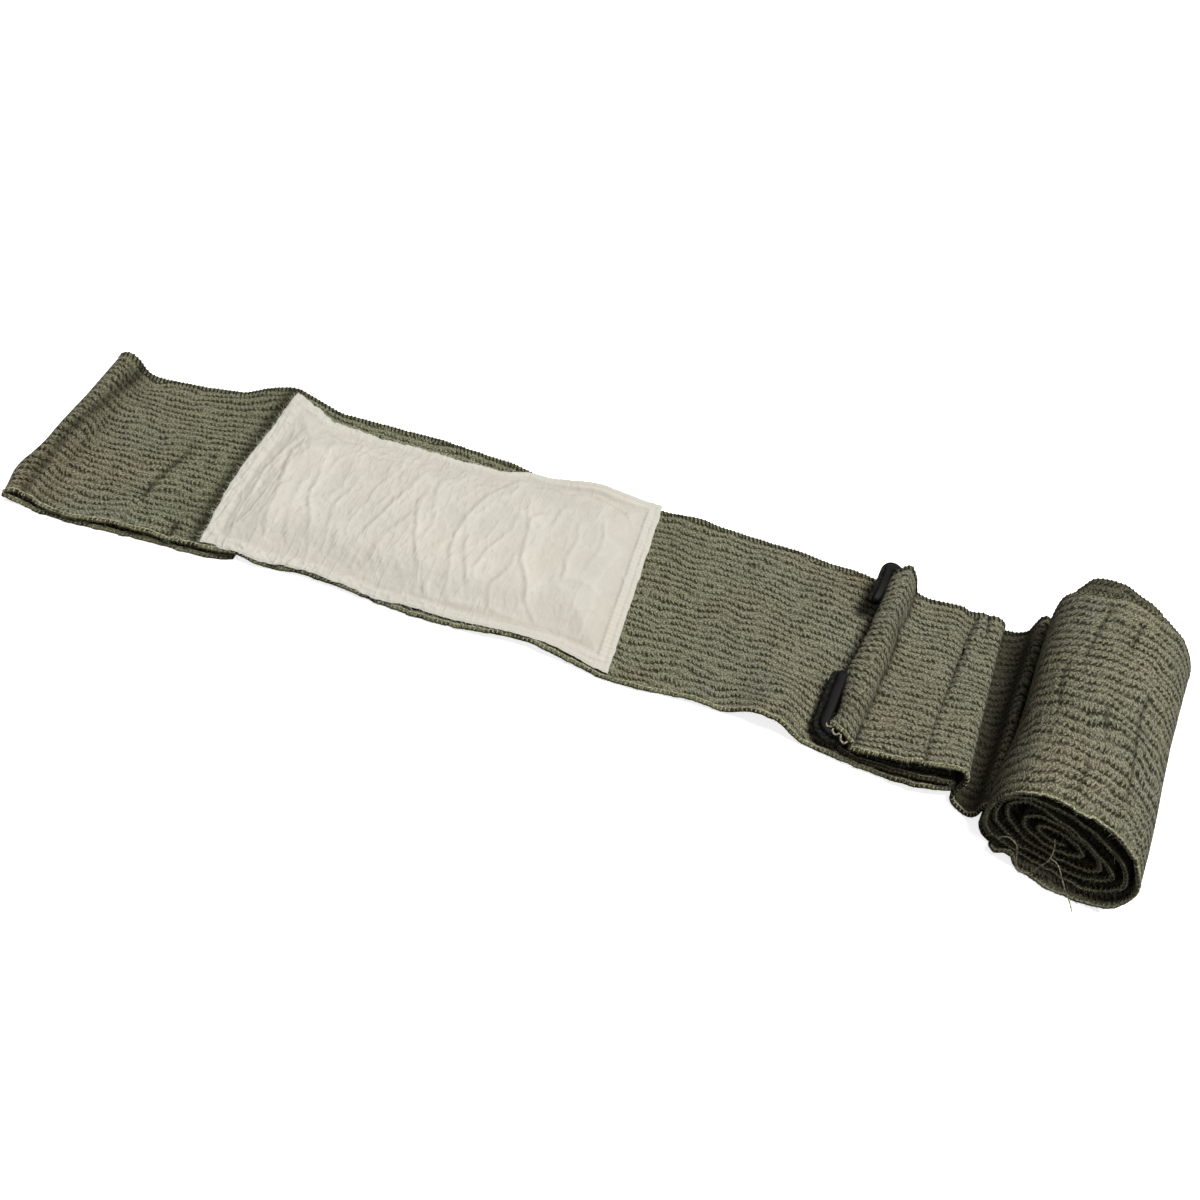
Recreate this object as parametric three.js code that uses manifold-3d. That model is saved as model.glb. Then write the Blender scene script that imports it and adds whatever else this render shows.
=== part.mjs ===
// A rolled trauma bandage, lying partly unrolled on a flat surface.
// An elastic wrap carries a sewn dressing pad and a plastic pressure clip, and the rest of it is still wound up.
// Units are millimetres, +Z is up and +X runs along the pad towards the roll.
//
// Most of the bandage is described in bandage coordinates: along is the distance on the surface following the
// bandage's own line, across is the distance sideways from that line, towards the far edge, and height is above
// the surface. Both start under the middle of the pad. The function planPoint turns them into X and Y.
import * as THREE from "three";
import Module from "manifold-3d";
import { mergeVertices } from "three/addons/utils/BufferGeometryUtils.js";

// Driving dimensions
const CLOTH_THICKNESS = 1.5;
const PIECE_GAP = 0.3;
const LYING = CLOTH_THICKNESS / 2; // height of the middle of a cloth that lies on the surface

const PAD_LENGTH = 175;
const PAD_LEFT_BOW = 4.5; // how far the pad's first edge bows out at its middle
const PAD_RIM_THICKNESS = 1.6;
const PAD_CROWN = 3.4;
const PAD_SEAM_INSET = 8;
const PAD_SEAM_DEPTH = 0.7;
const PAD_EDGE_ROUNDING = 16;
const PAD_LIFT = 0.5; // free height between the pad and the cloth under it

const CLIP_LENGTH = 99;
const CLIP_BAR_WIDTH = 5.5;
const CLIP_BASE_HEIGHT = 2.6;
const CLIP_BEAD_WIDTH = 3.4;
const CLIP_BEAD_HEIGHT = 1.8;
const CLIP_BEAD_SINK = 0.4; // how far the bead's solid reaches into the base
const CLIP_CORNER_RADIUS = 7;
const CLIP_MOUTH = 40; // open length between the two hooks
const CLIP_WINDOW = 2.6; // free width between the hooks and the sleeve
const CLIP_TILT = THREE.MathUtils.degToRad(-3); // the hooks hang a little lower than the bar
const CLIP_RISE = THREE.MathUtils.degToRad(2.4); // how much the far end stands higher than the near end
const CLIP_ALONG = 189.8; // place of the bar in the sleeve
const CLIP_ACROSS = 6.8;
const CLIP_HEIGHT = 9.2;
const CLIP_MOUTH_SHIFT = 3.8; // the mouth's middle lies this much nearer the far end
const SLEEVE_NEAR = 41.5;
const SLEEVE_FAR = 55;
const SLEEVE_DRAWN_IN = 6.5; // the sleeve is this much shorter at each end where it faces the hooks

const ROLL_ALONG = 275.2;
const ROLL_HEIGHT = 24.2;
const ROLL_HALF_LENGTH = 29.2;
const ROLL_HALF_HEIGHT = 23.4;
const ROLL_LEAN = THREE.MathUtils.degToRad(-21);
const ROLL_TURNS = 5.45;
const ROLL_PITCH_LENGTH = 4.0; // how much the half length shrinks with each turn
const ROLL_PITCH_HEIGHT = 3.75;
const ROLL_DRIFT_ALONG = -1.5; // how much the middle of a turn moves with each turn
const ROLL_DRIFT_HEIGHT = -1.5;
const ROLL_START = 259.4; // where the loose end stops and the wound part begins

const LOOSE_COLUMNS = 14;
const LONGEST_STEP = 10;
const SHARPEST_STEP = THREE.MathUtils.degToRad(20);

// The bandage's line bends slightly before the pad and turns towards the near side after it.
const LINE = [
  { along: -100, heading: 2.5 },
  { along: -60, heading: 0 },
  { along: 110, heading: 0 },
  { along: 170, heading: -11 },
  { along: 206, heading: -11 },
  { along: 230, heading: -9 },
  { along: 262, heading: -17 },
];

// The section of the loose end, from the tucked end under the pad to the roll. near and far are the distances of
// the two edges from the line, loose is the share of the surface's waves that the cloth follows there, and lift is
// how much higher the cloth lies 50 mm to the far side of the clip's middle.
const SLEEVE_RADIUS =
  Math.hypot(CLIP_BAR_WIDTH, CLIP_BASE_HEIGHT + CLIP_BEAD_HEIGHT) / 2 +
  PIECE_GAP +
  LYING +
  0.1;
const LOOSE_END = [
  { fold: "tucked end", along: -73, height: LYING, near: 50.5, far: 48, loose: 0, lift: 0 },
  { fold: "under layer", along: -90, height: LYING, near: 51, far: 47, loose: 0, lift: 0 },
  { fold: "under layer", along: -117, height: LYING, near: 51.5, far: 43, loose: 0, lift: 0 },
  { fold: "under layer", along: -156, height: LYING, near: 52.5, far: 38.5, loose: 0, lift: 0 },
  { fold: "end loop", along: -163, height: 0.9, near: 51, far: 39, loose: 0, lift: 0 },
  { fold: "end loop", along: -168.6, height: 2.4, near: 49.5, far: 39, loose: 0, lift: 0 },
  { fold: "end loop", along: -170.4, height: 5.6, near: 47.5, far: 39.5, loose: 0.4, lift: 0 },
  { fold: "end loop", along: -168.8, height: 8.6, near: 46, far: 40, loose: 0.8, lift: 0 },
  { fold: "end loop", along: -165, height: 9.9, near: 46, far: 40, loose: 1, lift: 0 },
  { fold: "end loop", along: -161.4, height: 8, near: 46.5, far: 39.5, loose: 0.8, lift: 0 },
  { fold: "end valley", along: -158.4, height: 4.8, near: 48, far: 38.8, loose: 0.3, lift: 0 },
  { fold: "end valley", along: -154, height: 3.3, near: 49.5, far: 38.5, loose: 0.3, lift: 0 },
  { fold: "top layer", along: -146, height: 3.1, near: 50.5, far: 38.8, loose: 1, lift: 0 },
  { fold: "top layer", along: -126, height: 3.1, near: 50.5, far: 40.2, loose: 1, lift: 0 },
  { fold: "top layer", along: -112, height: 3.1, near: 50, far: 43.2, loose: 1, lift: 0 },
  { fold: "top layer", along: -96, height: 3.1, near: 49.5, far: 49, loose: 1, lift: 0 },
  { fold: "top layer", along: -86, height: 3.1, near: 49, far: 50.3, loose: 1, lift: 0 },
  { fold: "step down", along: -70, height: 3, near: 48, far: 47, loose: 1, lift: 0 },
  { fold: "step down", along: -58, height: 1.2, near: 47.7, far: 49.6, loose: 1, lift: 0 },
  { fold: "under the pad", along: -43, height: LYING, near: 46, far: 50.3, loose: 1, lift: 0 },
  { fold: "under the pad", along: -14, height: LYING, near: 47.8, far: 51.3, loose: 1, lift: 0 },
  { fold: "under the pad", along: 14, height: LYING, near: 46.2, far: 50.6, loose: 1, lift: 0 },
  { fold: "under the pad", along: 27, height: LYING, near: 46, far: 48.2, loose: 1, lift: 0 },
  { fold: "under the pad", along: 64, height: LYING, near: 45.2, far: 50.2, loose: 1, lift: 0 },
  { fold: "under the pad", along: 88, height: LYING, near: 49.6, far: 49.6, loose: 1, lift: 0 },
  { fold: "plain stretch", along: 112, height: LYING, near: 48.2, far: 50, loose: 1, lift: 0 },
  { fold: "plain stretch", along: 136, height: LYING, near: 48.4, far: 51.6, loose: 1, lift: 0 },
  { fold: "plain stretch", along: 158, height: LYING, near: 46, far: 55, loose: 1, lift: 0 },
  { fold: "under the clip", along: 180, height: LYING, near: 45.5, far: 56, loose: 1, lift: 0 },
  { fold: "under the clip", along: 208, height: LYING, near: 42, far: 52, loose: 1, lift: 0 },
  { fold: "lower fold", along: 221, height: 0.9, near: 41.3, far: 49, loose: 1, lift: 0 },
  { fold: "lower fold", along: 226.8, height: 2.5, near: 40.6, far: 48, loose: 1, lift: 0 },
  { fold: "lower fold", along: 226.6, height: 5.2, near: 40, far: 47.5, loose: 1, lift: 0 },
  { fold: "lower fold", along: 221, height: 6, near: 39.5, far: 47.5, loose: 0.5, lift: 0 },
  { fold: "way back", along: 211, height: 4.3, near: 39.5, far: 48, loose: 0, lift: 0 },
  { fold: "way back", along: 199, height: 3.2, near: SLEEVE_NEAR, far: 51, loose: 0, lift: 0.4 },
  ...sleeveRows(),
  { fold: "stitched crease", along: 196.8, height: 10, near: SLEEVE_NEAR, far: 51.5, loose: 0, lift: 1.6 },
  { fold: "stitched crease", along: 200, height: 7, near: 42.5, far: 49.4, loose: 0, lift: 0.8 },
  { fold: "flap", along: 205, height: 8.4, near: 42, far: 49.4, loose: 0, lift: 0 },
  { fold: "flap", along: 212, height: 11.2, near: 40.5, far: 49.8, loose: 0.5, lift: 0 },
  { fold: "flap", along: 218.5, height: 12.4, near: 39, far: 50.2, loose: 1, lift: 0 },
  { fold: "flap crease", along: 223, height: 10.8, near: 38, far: 50.8, loose: 1, lift: 0 },
  { fold: "flap", along: 227.6, height: 13, near: 36.5, far: 51.8, loose: 1, lift: 0 },
  { fold: "flap", along: 232, height: 13.4, near: 35, far: 52.3, loose: 1, lift: 0 },
  { fold: "drop", along: 235.6, height: 11, near: 35, far: 52.6, loose: 0.4, lift: 0 },
  { fold: "drop", along: 237, height: 6.4, near: 36.5, far: 54, loose: 0, lift: 0 },
  { fold: "valley", along: 239, height: 2.6, near: 38.5, far: 56, loose: 0, lift: 0 },
  { fold: "valley", along: 241.4, height: 3.2, near: 39.5, far: 58, loose: 0, lift: 0 },
  { fold: "crest", along: 243, height: 7.6, near: 40, far: 60, loose: 0, lift: 0 },
  { fold: "crest", along: 243.9, height: 12.6, near: 40, far: 60.6, loose: 0.5, lift: 0 },
  { fold: "crest", along: 246, height: 14.8, near: 40.2, far: 60.6, loose: 1, lift: 0 },
  { fold: "crest", along: 248.1, height: 12.8, near: 40.4, far: 60, loose: 0.5, lift: 0 },
  { fold: "crest", along: 248.8, height: 7.8, near: 40.8, far: 59.5, loose: 0, lift: 0 },
  { fold: "nip", along: 250.6, height: 3.2, near: 41.5, far: 59, loose: 0, lift: 0 },
  { fold: "nip", along: 254, height: 1.1, near: 43.5, far: 58.5, loose: 0, lift: 0 },
  { fold: "nip", along: ROLL_START - PIECE_GAP, height: LYING, near: 47, far: 58, loose: 0, lift: 0 },
];

// Edges of the wound part by turn: the turns slide sideways past each other, most at the far end.
const ROLL_EDGES = [
  { turn: 0, near: 51, far: 57 },
  { turn: 0.12, near: 50, far: 57 },
  { turn: 0.28, near: 45, far: 58 },
  { turn: 0.5, near: 46, far: 61 },
  { turn: 0.75, near: 46.5, far: 52 },
  { turn: 1, near: 51, far: 56 },
  { turn: 1.2, near: 47.5, far: 63 },
  { turn: 1.5, near: 45, far: 70 },
  { turn: 1.62, near: 45, far: 68 },
  { turn: 1.75, near: 45, far: 57 },
  { turn: 2.3, near: 44, far: 62 },
  { turn: 3, near: 43, far: 59 },
  { turn: 4, near: 42, far: 58 },
  { turn: ROLL_TURNS, near: 41, far: 56 },
];

// Broad waves in the cloth, each a rounded hill on the surface. They are highest at the middle point given, and
// reach the lengths given to either side. skew is how far the hill leans along for each unit across.
const WAVES = [
  { where: "end loop, far corner", along: -166, across: 42, height: 2.2, reachAlong: 13, reachAcross: 40, skew: 0 },
  { where: "far edge before the pad", along: -92, across: 52, height: 5.4, reachAlong: 24, reachAcross: 36, skew: -0.15 },
  { where: "near edge at the end", along: -120, across: -53, height: 1.4, reachAlong: 24, reachAcross: 18, skew: 0.2 },
  { where: "near edge under the pad", along: -34, across: -50, height: 1.6, reachAlong: 26, reachAcross: 12, skew: 0 },
  { where: "near edge under the pad", along: 50, across: -50, height: 3.2, reachAlong: 34, reachAcross: 14, skew: 0 },
  { where: "far edge beside the pad", along: 56, across: 52, height: 2.4, reachAlong: 26, reachAcross: 14, skew: 0 },
  { where: "far edge past the pad", along: 106, across: 52, height: 2.2, reachAlong: 14, reachAcross: 22, skew: 0 },
  { where: "near edge past the pad", along: 122, across: -50, height: 1.6, reachAlong: 16, reachAcross: 18, skew: 0 },
  { where: "swell before the clip", along: 158, across: -50, height: 7.5, reachAlong: 20, reachAcross: 44, skew: 0.2 },
  { where: "ridge across the stretch", along: 140, across: 30, height: 1.4, reachAlong: 16, reachAcross: 42, skew: 0.3 },
  { where: "lower layer, near edge", along: 226, across: -46, height: 1.6, reachAlong: 16, reachAcross: 26, skew: 0 },
  { where: "flap, near edge", along: 226, across: -36, height: 1.8, reachAlong: 26, reachAcross: 36, skew: 0 },
  { where: "crest, far end", along: 246, across: 60, height: 1.6, reachAlong: 9, reachAcross: 76, skew: 0 },
];

// Creases of the pad's cover: shallow troughs that run from one point to another, in pad coordinates.
const PAD_CREASES = [
  { along: -70, across: -26, toAlong: -58, toAcross: 28, depth: 0.8, width: 4.5 },
  { along: -52, across: -34, toAlong: -38, toAcross: 20, depth: 0.9, width: 4 },
  { along: -38, across: -30, toAlong: 2, toAcross: 28, depth: 0.8, width: 4.5 },
  { along: 10, across: -36, toAlong: 6, toAcross: 18, depth: 1.0, width: 4 },
  { along: 22, across: -38, toAlong: 40, toAcross: 34, depth: 1.0, width: 4.5 },
  { along: 34, across: -34, toAlong: 58, toAcross: 16, depth: 0.8, width: 4 },
  { along: 62, across: -20, toAlong: 56, toAcross: 24, depth: 0.7, width: 4.5 },
];

// The pad's own outline, as distances of its long edges from the line.
const PAD_EDGES = [
  { along: -PAD_LENGTH / 2, near: 46.6, far: 49.2 },
  { along: -76, near: 46.6, far: 46.6 },
  { along: -68, near: 46.2, far: 43.2 },
  { along: -42, near: 44.2, far: 44.4 },
  { along: -14, near: 46, far: 45.4 },
  { along: 10, near: 44.6, far: 45.2 },
  { along: 28, near: 44.4, far: 47.6 },
  { along: 62, near: 43.6, far: 49.4 },
  { along: PAD_LENGTH / 2, near: 48.2, far: 49 },
];

const COLOURS = {
  wrap: { color: 0x77735c, roughness: 0.95, metalness: 0 },
  pad: { color: 0xd9d4c2, roughness: 0.9, metalness: 0 },
  clip: { color: 0x1d1e20, roughness: 0.45, metalness: 0 },
};

/** The rows of the sleeve, half a circle round the clip's bar, from under it to over it. */
function sleeveRows() {
  const count = 9;
  return Array.from({ length: count }, (_, i) => {
    const turn = (Math.PI * i) / (count - 1);
    return {
      fold: "sleeve",
      along: CLIP_ALONG - SLEEVE_RADIUS * Math.sin(turn),
      height: CLIP_HEIGHT - SLEEVE_RADIUS * Math.cos(turn),
      near: SLEEVE_NEAR - SLEEVE_DRAWN_IN * Math.sin(turn),
      far: SLEEVE_FAR - SLEEVE_DRAWN_IN * Math.sin(turn),
      loose: 0,
      lift: 50 * Math.tan(CLIP_RISE),
    };
  });
}

/** A column's value at a place in a table sorted by key, eased from row to row. */
function lookUp(table, key, place, column) {
  if (place <= table[0][key]) return table[0][column];
  for (let i = 1; i < table.length; i++) {
    const a = table[i - 1];
    const b = table[i];
    if (place <= b[key]) {
      const share = THREE.MathUtils.smoothstep(place, a[key], b[key]);
      return THREE.MathUtils.lerp(a[column], b[column], share);
    }
  }
  return table[table.length - 1][column];
}

/** The bandage line's heading at a distance along it, in radians. */
function headingAt(along) {
  return THREE.MathUtils.degToRad(lookUp(LINE, "along", along, "heading"));
}

/** The place in X and Y of a point given in bandage coordinates, found by adding up short straight steps. */
function planPoint(along, across) {
  const steps = Math.ceil(Math.abs(along) / 2);
  const step = steps ? along / steps : 0;
  let x = 0;
  let y = 0;
  for (let i = 0; i < steps; i++) {
    const heading = headingAt((i + 0.5) * step);
    x += step * Math.cos(heading);
    y += step * Math.sin(heading);
  }
  const heading = headingAt(along);
  return [x - across * Math.sin(heading), y + across * Math.cos(heading)];
}

/** The height that the broad waves add at a place: each hill is (1 - r squared) squared inside its reach. */
function waveHeight(along, across) {
  let sum = 0;
  for (const w of WAVES) {
    const a = (along - w.along - w.skew * (across - w.across)) / w.reachAlong;
    const b = (across - w.across) / w.reachAcross;
    const r2 = a * a + b * b;
    if (r2 < 1) sum += w.height * (1 - r2) ** 2;
  }
  return sum;
}

/** A smooth section through rows, cut into steps that are short enough in length and in turning. */
function sampleSection(rows) {
  const fine = 16;
  const curve = new THREE.CatmullRomCurve3(
    rows.map((r) => new THREE.Vector3(r.along, r.height, 0)),
    false,
    "centripetal",
  );
  const count = (rows.length - 1) * fine;
  const at = (k) => {
    const p = curve.getPoint(k / count);
    const i = Math.min(rows.length - 2, Math.floor(k / fine));
    const share = k / fine - i;
    const mix = (column) => THREE.MathUtils.lerp(rows[i][column], rows[i + 1][column], share);
    return { along: p.x, height: Math.max(p.y, LYING), near: mix("near"), far: mix("far"), loose: mix("loose"), lift: mix("lift") };
  };
  const direction = (k) => {
    const t = curve.getTangent(k / count);
    return Math.atan2(t.y, t.x);
  };
  const stations = [at(0)];
  let last = 0;
  let lastDirection = direction(0);
  for (let k = 1; k < count; k++) {
    const a = at(k);
    const b = stations[stations.length - 1];
    const length = Math.hypot(a.along - b.along, a.height - b.height);
    let turned = Math.abs(direction(k) - lastDirection);
    if (turned > Math.PI) turned = 2 * Math.PI - turned;
    const nearEnd = count - k < fine / 3;
    if ((length > LONGEST_STEP || turned > SHARPEST_STEP) && k > last + 1 && !nearEnd) {
      stations.push(a);
      last = k;
      lastDirection = direction(k);
    }
  }
  stations.push(at(count));
  return stations;
}

/** A closed geometry from an upper and a lower grid of points, both [row][column], with walls round the rim. */
function slabGeometry(upper, lower) {
  const rows = upper.length;
  const columns = upper[0].length;
  const positions = [];
  for (const grid of [upper, lower]) for (const row of grid) for (const p of row) positions.push(p.x, p.y, p.z);
  const index = [];
  const top = (i, j) => i * columns + j;
  const bottom = (i, j) => rows * columns + i * columns + j;
  const quad = (a, b, c, d) => index.push(a, b, c, a, c, d);
  for (let i = 0; i < rows - 1; i++) {
    for (let j = 0; j < columns - 1; j++) {
      quad(top(i, j), top(i + 1, j), top(i + 1, j + 1), top(i, j + 1));
      quad(bottom(i, j), bottom(i, j + 1), bottom(i + 1, j + 1), bottom(i + 1, j));
    }
    quad(top(i, 0), bottom(i, 0), bottom(i + 1, 0), top(i + 1, 0));
    const j = columns - 1;
    quad(top(i, j), top(i + 1, j), bottom(i + 1, j), bottom(i, j));
  }
  for (let j = 0; j < columns - 1; j++) {
    quad(top(0, j), top(0, j + 1), bottom(0, j + 1), bottom(0, j));
    const i = rows - 1;
    quad(top(i, j), bottom(i, j), bottom(i, j + 1), top(i, j + 1));
  }
  const geometry = new THREE.BufferGeometry();
  geometry.setAttribute("position", new THREE.Float32BufferAttribute(positions, 3));
  geometry.setIndex(index);
  geometry.computeVertexNormals();
  return geometry;
}

/** Cloth of even thickness on both sides of a grid of middle points, each moved along the grid's own normal. */
function clothGeometry(middle, thickness) {
  const rows = middle.length;
  const columns = middle[0].length;
  const offset = (sign) =>
    middle.map((row, i) =>
      row.map((p, j) => {
        const onward = new THREE.Vector3();
        const before = middle[Math.max(0, i - 1)][j];
        const after = middle[Math.min(rows - 1, i + 1)][j];
        for (const [from, to] of [[before, p], [p, after]]) {
          const piece = to.clone().sub(from);
          if (piece.lengthSq() > 0) onward.add(piece.normalize());
        }
        const sideways = middle[i][Math.min(columns - 1, j + 1)].clone().sub(middle[i][Math.max(0, j - 1)]);
        const normal = onward.cross(sideways).normalize();
        return p.clone().addScaledVector(normal, (sign * thickness) / 2);
      }),
    );
  return slabGeometry(offset(1), offset(-1));
}

/** A grid of middle points for a section: columns run from the near edge to the far edge. */
function clothGrid(stations, columns) {
  return stations.map((s) =>
    Array.from({ length: columns }, (_, j) => {
      const across = THREE.MathUtils.lerp(-s.near, s.far, j / (columns - 1));
      const [x, y] = planPoint(s.along, across);
      const raised = s.loose * waveHeight(s.along, across) + s.lift * ((across - CLIP_ACROSS) / 50);
      return new THREE.Vector3(x, y, s.height + raised);
    }),
  );
}

/** The wrap's loose end: one folded strip from its tucked end to the roll. */
function looseEndGeometry(stations) {
  return clothGeometry(clothGrid(stations, LOOSE_COLUMNS), CLOTH_THICKNESS);
}

/** The height of a cloth's middle at a place, read between the same grid points that its solid has. */
function clothHeight(run, along, across) {
  const i = THREE.MathUtils.clamp(run.findIndex((s) => s.along >= along) - 1, 0, run.length - 2);
  const inRow = (s) => {
    const u = THREE.MathUtils.clamp((across + s.near) / (s.near + s.far), 0, 1) * (LOOSE_COLUMNS - 1);
    const j = Math.min(LOOSE_COLUMNS - 2, Math.floor(u));
    const at = (k) => {
      const place = THREE.MathUtils.lerp(-s.near, s.far, k / (LOOSE_COLUMNS - 1));
      return s.height + s.loose * waveHeight(s.along, place);
    };
    return THREE.MathUtils.lerp(at(j), at(j + 1), u - j);
  };
  const share = (along - run[i].along) / (run[i + 1].along - run[i].along);
  return THREE.MathUtils.lerp(inRow(run[i]), inRow(run[i + 1]), share);
}

/** The wound part's section: leaning ellipses that shrink and drift with each turn, flat where they rest. */
function rollRows() {
  const perTurn = 20;
  const first = 0.06;
  const count = Math.round((ROLL_TURNS - first) * perTurn);
  const rows = [{ along: ROLL_START, height: LYING, turn: 0 }];
  for (let i = 0; i <= count; i++) {
    const turn = first + ((ROLL_TURNS - first) * i) / count;
    const angle = 2 * Math.PI * (turn - 0.25) - ROLL_LEAN;
    const a = ROLL_HALF_LENGTH - ROLL_PITCH_LENGTH * turn;
    const b = ROLL_HALF_HEIGHT - ROLL_PITCH_HEIGHT * turn;
    const e = a * Math.cos(angle);
    const f = b * Math.sin(angle);
    const along = ROLL_ALONG + ROLL_DRIFT_ALONG * turn + e * Math.cos(ROLL_LEAN) - f * Math.sin(ROLL_LEAN);
    const height = ROLL_HEIGHT + ROLL_DRIFT_HEIGHT * turn + e * Math.sin(ROLL_LEAN) + f * Math.cos(ROLL_LEAN);
    rows.push({ along, height: Math.max(height, LYING), turn });
  }
  return rows.map((r) => ({
    ...r,
    near: lookUp(ROLL_EDGES, "turn", r.turn, "near"),
    far: lookUp(ROLL_EDGES, "turn", r.turn, "far"),
    loose: 0,
    lift: 0,
  }));
}

/** The wrap's wound part: one spiral of the same cloth. */
function rollGeometry() {
  return clothGeometry(clothGrid(rollRows(), 6), CLOTH_THICKNESS);
}

/** How far a place lies below the pad's crown because of the creases in its cover. */
function creaseDepth(along, across) {
  let sum = 0;
  for (const c of PAD_CREASES) {
    const line = new THREE.Vector2(c.toAlong - c.along, c.toAcross - c.across);
    const place = new THREE.Vector2(along - c.along, across - c.across);
    const share = THREE.MathUtils.clamp(place.dot(line) / line.lengthSq(), 0, 1);
    const distance = place.addScaledVector(line, -share).length() / c.width;
    if (distance < 1) sum += c.depth * (1 - distance * distance) ** 2 * Math.sin(Math.PI * (0.15 + 0.7 * share));
  }
  return sum;
}

/** The dressing pad: thin at its sewn rim, with a seam channel inside the rim and a crown with creases. */
function padGeometry(stations) {
  const rows = 36;
  const columns = 17;
  const topRun = stations.filter((s) => s.loose === 1 && s.along < 180 && s.height < 4);
  const ease = (i, n) => 0.5 - 0.5 * Math.cos((Math.PI * i) / (n - 1));
  const spread = (i, n) => THREE.MathUtils.lerp(i / (n - 1), ease(i, n), 0.6);
  const upper = [];
  const lower = [];
  for (let i = 0; i < rows; i++) {
    const share = spread(i, rows);
    const straight = PAD_LENGTH * (share - 0.5);
    const near = lookUp(PAD_EDGES, "along", straight, "near");
    const far = lookUp(PAD_EDGES, "along", straight, "far");
    const up = [];
    const down = [];
    for (let j = 0; j < columns; j++) {
      const sideShare = spread(j, columns);
      const across = THREE.MathUtils.lerp(-near, far, sideShare);
      const along = straight - PAD_LEFT_BOW * (1 - share) ** 2 * Math.sin(Math.PI * sideShare);
      const inset = Math.min(PAD_LENGTH / 2 - Math.abs(straight), near + across, far - across);
      const inside = THREE.MathUtils.smoothstep(inset, PAD_SEAM_INSET, PAD_SEAM_INSET + PAD_EDGE_ROUNDING);
      const seam = Math.max(0, 1 - ((inset - PAD_SEAM_INSET) / 4) ** 2);
      const thickness =
        PAD_RIM_THICKNESS + PAD_CROWN * inside - PAD_SEAM_DEPTH * seam - inside * creaseDepth(along, across);
      const [x, y] = planPoint(along, across);
      const base = clothHeight(topRun, along, across) + CLOTH_THICKNESS / 2 + PAD_LIFT;
      down.push(new THREE.Vector3(x, y, base));
      up.push(new THREE.Vector3(x, y, base + thickness));
    }
    upper.push(up);
    lower.push(down);
  }
  return slabGeometry(upper, lower);
}

/** One outline of the clip: a bar of the given width along a ring that is open at the mouth between the hooks. */
function clipShape(width) {
  const reach = CLIP_BAR_WIDTH / 2 + CLIP_WINDOW + SLEEVE_RADIUS + CLOTH_THICKNESS / 2;
  const half = width / 2;
  const end = CLIP_LENGTH / 2 - CLIP_BAR_WIDTH / 2;
  const radius = CLIP_CORNER_RADIUS - CLIP_BAR_WIDTH / 2;
  const mouthNear = CLIP_MOUTH_SHIFT - CLIP_MOUTH / 2 - CLIP_BAR_WIDTH / 2;
  const mouthFar = CLIP_MOUTH_SHIFT + CLIP_MOUTH / 2 + CLIP_BAR_WIDTH / 2;
  const outer = radius + half;
  const inner = radius - half;
  const shape = new THREE.Shape();
  shape.moveTo(-reach - half, mouthNear);
  shape.lineTo(-reach - half, -end + radius);
  shape.absarc(-reach + radius, -end + radius, outer, Math.PI, 1.5 * Math.PI, false);
  shape.lineTo(-radius, -end - half);
  shape.absarc(-radius, -end + radius, outer, 1.5 * Math.PI, 2 * Math.PI, false);
  shape.lineTo(half, end - radius);
  shape.absarc(-radius, end - radius, outer, 0, 0.5 * Math.PI, false);
  shape.lineTo(-reach + radius, end + half);
  shape.absarc(-reach + radius, end - radius, outer, 0.5 * Math.PI, Math.PI, false);
  shape.lineTo(-reach - half, mouthFar);
  shape.absarc(-reach, mouthFar, half, Math.PI, 2 * Math.PI, false);
  shape.lineTo(-reach + half, end - radius);
  shape.absarc(-reach + radius, end - radius, inner, Math.PI, 0.5 * Math.PI, true);
  shape.lineTo(-radius, end - half);
  shape.absarc(-radius, end - radius, inner, 0.5 * Math.PI, 0, true);
  shape.lineTo(-half, -end + radius);
  shape.absarc(-radius, -end + radius, inner, 0, -0.5 * Math.PI, true);
  shape.lineTo(-reach + radius, -end + half);
  shape.absarc(-reach + radius, -end + radius, inner, -0.5 * Math.PI, -Math.PI, true);
  shape.lineTo(-reach + half, mouthNear);
  shape.absarc(-reach, mouthNear, half, 0, Math.PI, false);
  return shape;
}

/** A geometry as a manifold-3d solid. */
function toSolid(wasm, geometry) {
  const bare = geometry.clone();
  bare.deleteAttribute("normal");
  bare.deleteAttribute("uv");
  const merged = mergeVertices(bare, 1e-4);
  return new wasm.Manifold(
    new wasm.Mesh({
      numProp: 3,
      vertProperties: new Float32Array(merged.attributes.position.array),
      triVerts: new Uint32Array(merged.index.array),
    }),
  );
}

/** The pressure clip: a flat C-shaped ring with a narrower raised bead along its top. */
function clipGeometry(wasm) {
  const total = CLIP_BASE_HEIGHT + CLIP_BEAD_HEIGHT;
  const base = new THREE.ExtrudeGeometry(clipShape(CLIP_BAR_WIDTH), {
    depth: CLIP_BASE_HEIGHT,
    bevelEnabled: false,
    curveSegments: 5,
  });
  base.translate(0, 0, -total / 2);
  const bead = new THREE.ExtrudeGeometry(clipShape(CLIP_BEAD_WIDTH), {
    depth: CLIP_BEAD_HEIGHT + CLIP_BEAD_SINK,
    bevelEnabled: false,
    curveSegments: 5,
  });
  bead.translate(0, 0, -total / 2 + CLIP_BASE_HEIGHT - CLIP_BEAD_SINK);
  const mesh = toSolid(wasm, base).add(toSolid(wasm, bead)).getMesh();
  const geometry = new THREE.BufferGeometry();
  geometry.setAttribute("position", new THREE.Float32BufferAttribute(mesh.vertProperties, 3));
  geometry.setIndex(new THREE.Uint32BufferAttribute(mesh.triVerts, 1));
  geometry.computeVertexNormals();
  return geometry;
}

/** A named mesh with one of the part's finishes. */
function piece(name, geometry, finish) {
  const mesh = new THREE.Mesh(geometry, new THREE.MeshStandardMaterial(COLOURS[finish]));
  mesh.name = name;
  return mesh;
}

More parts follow.
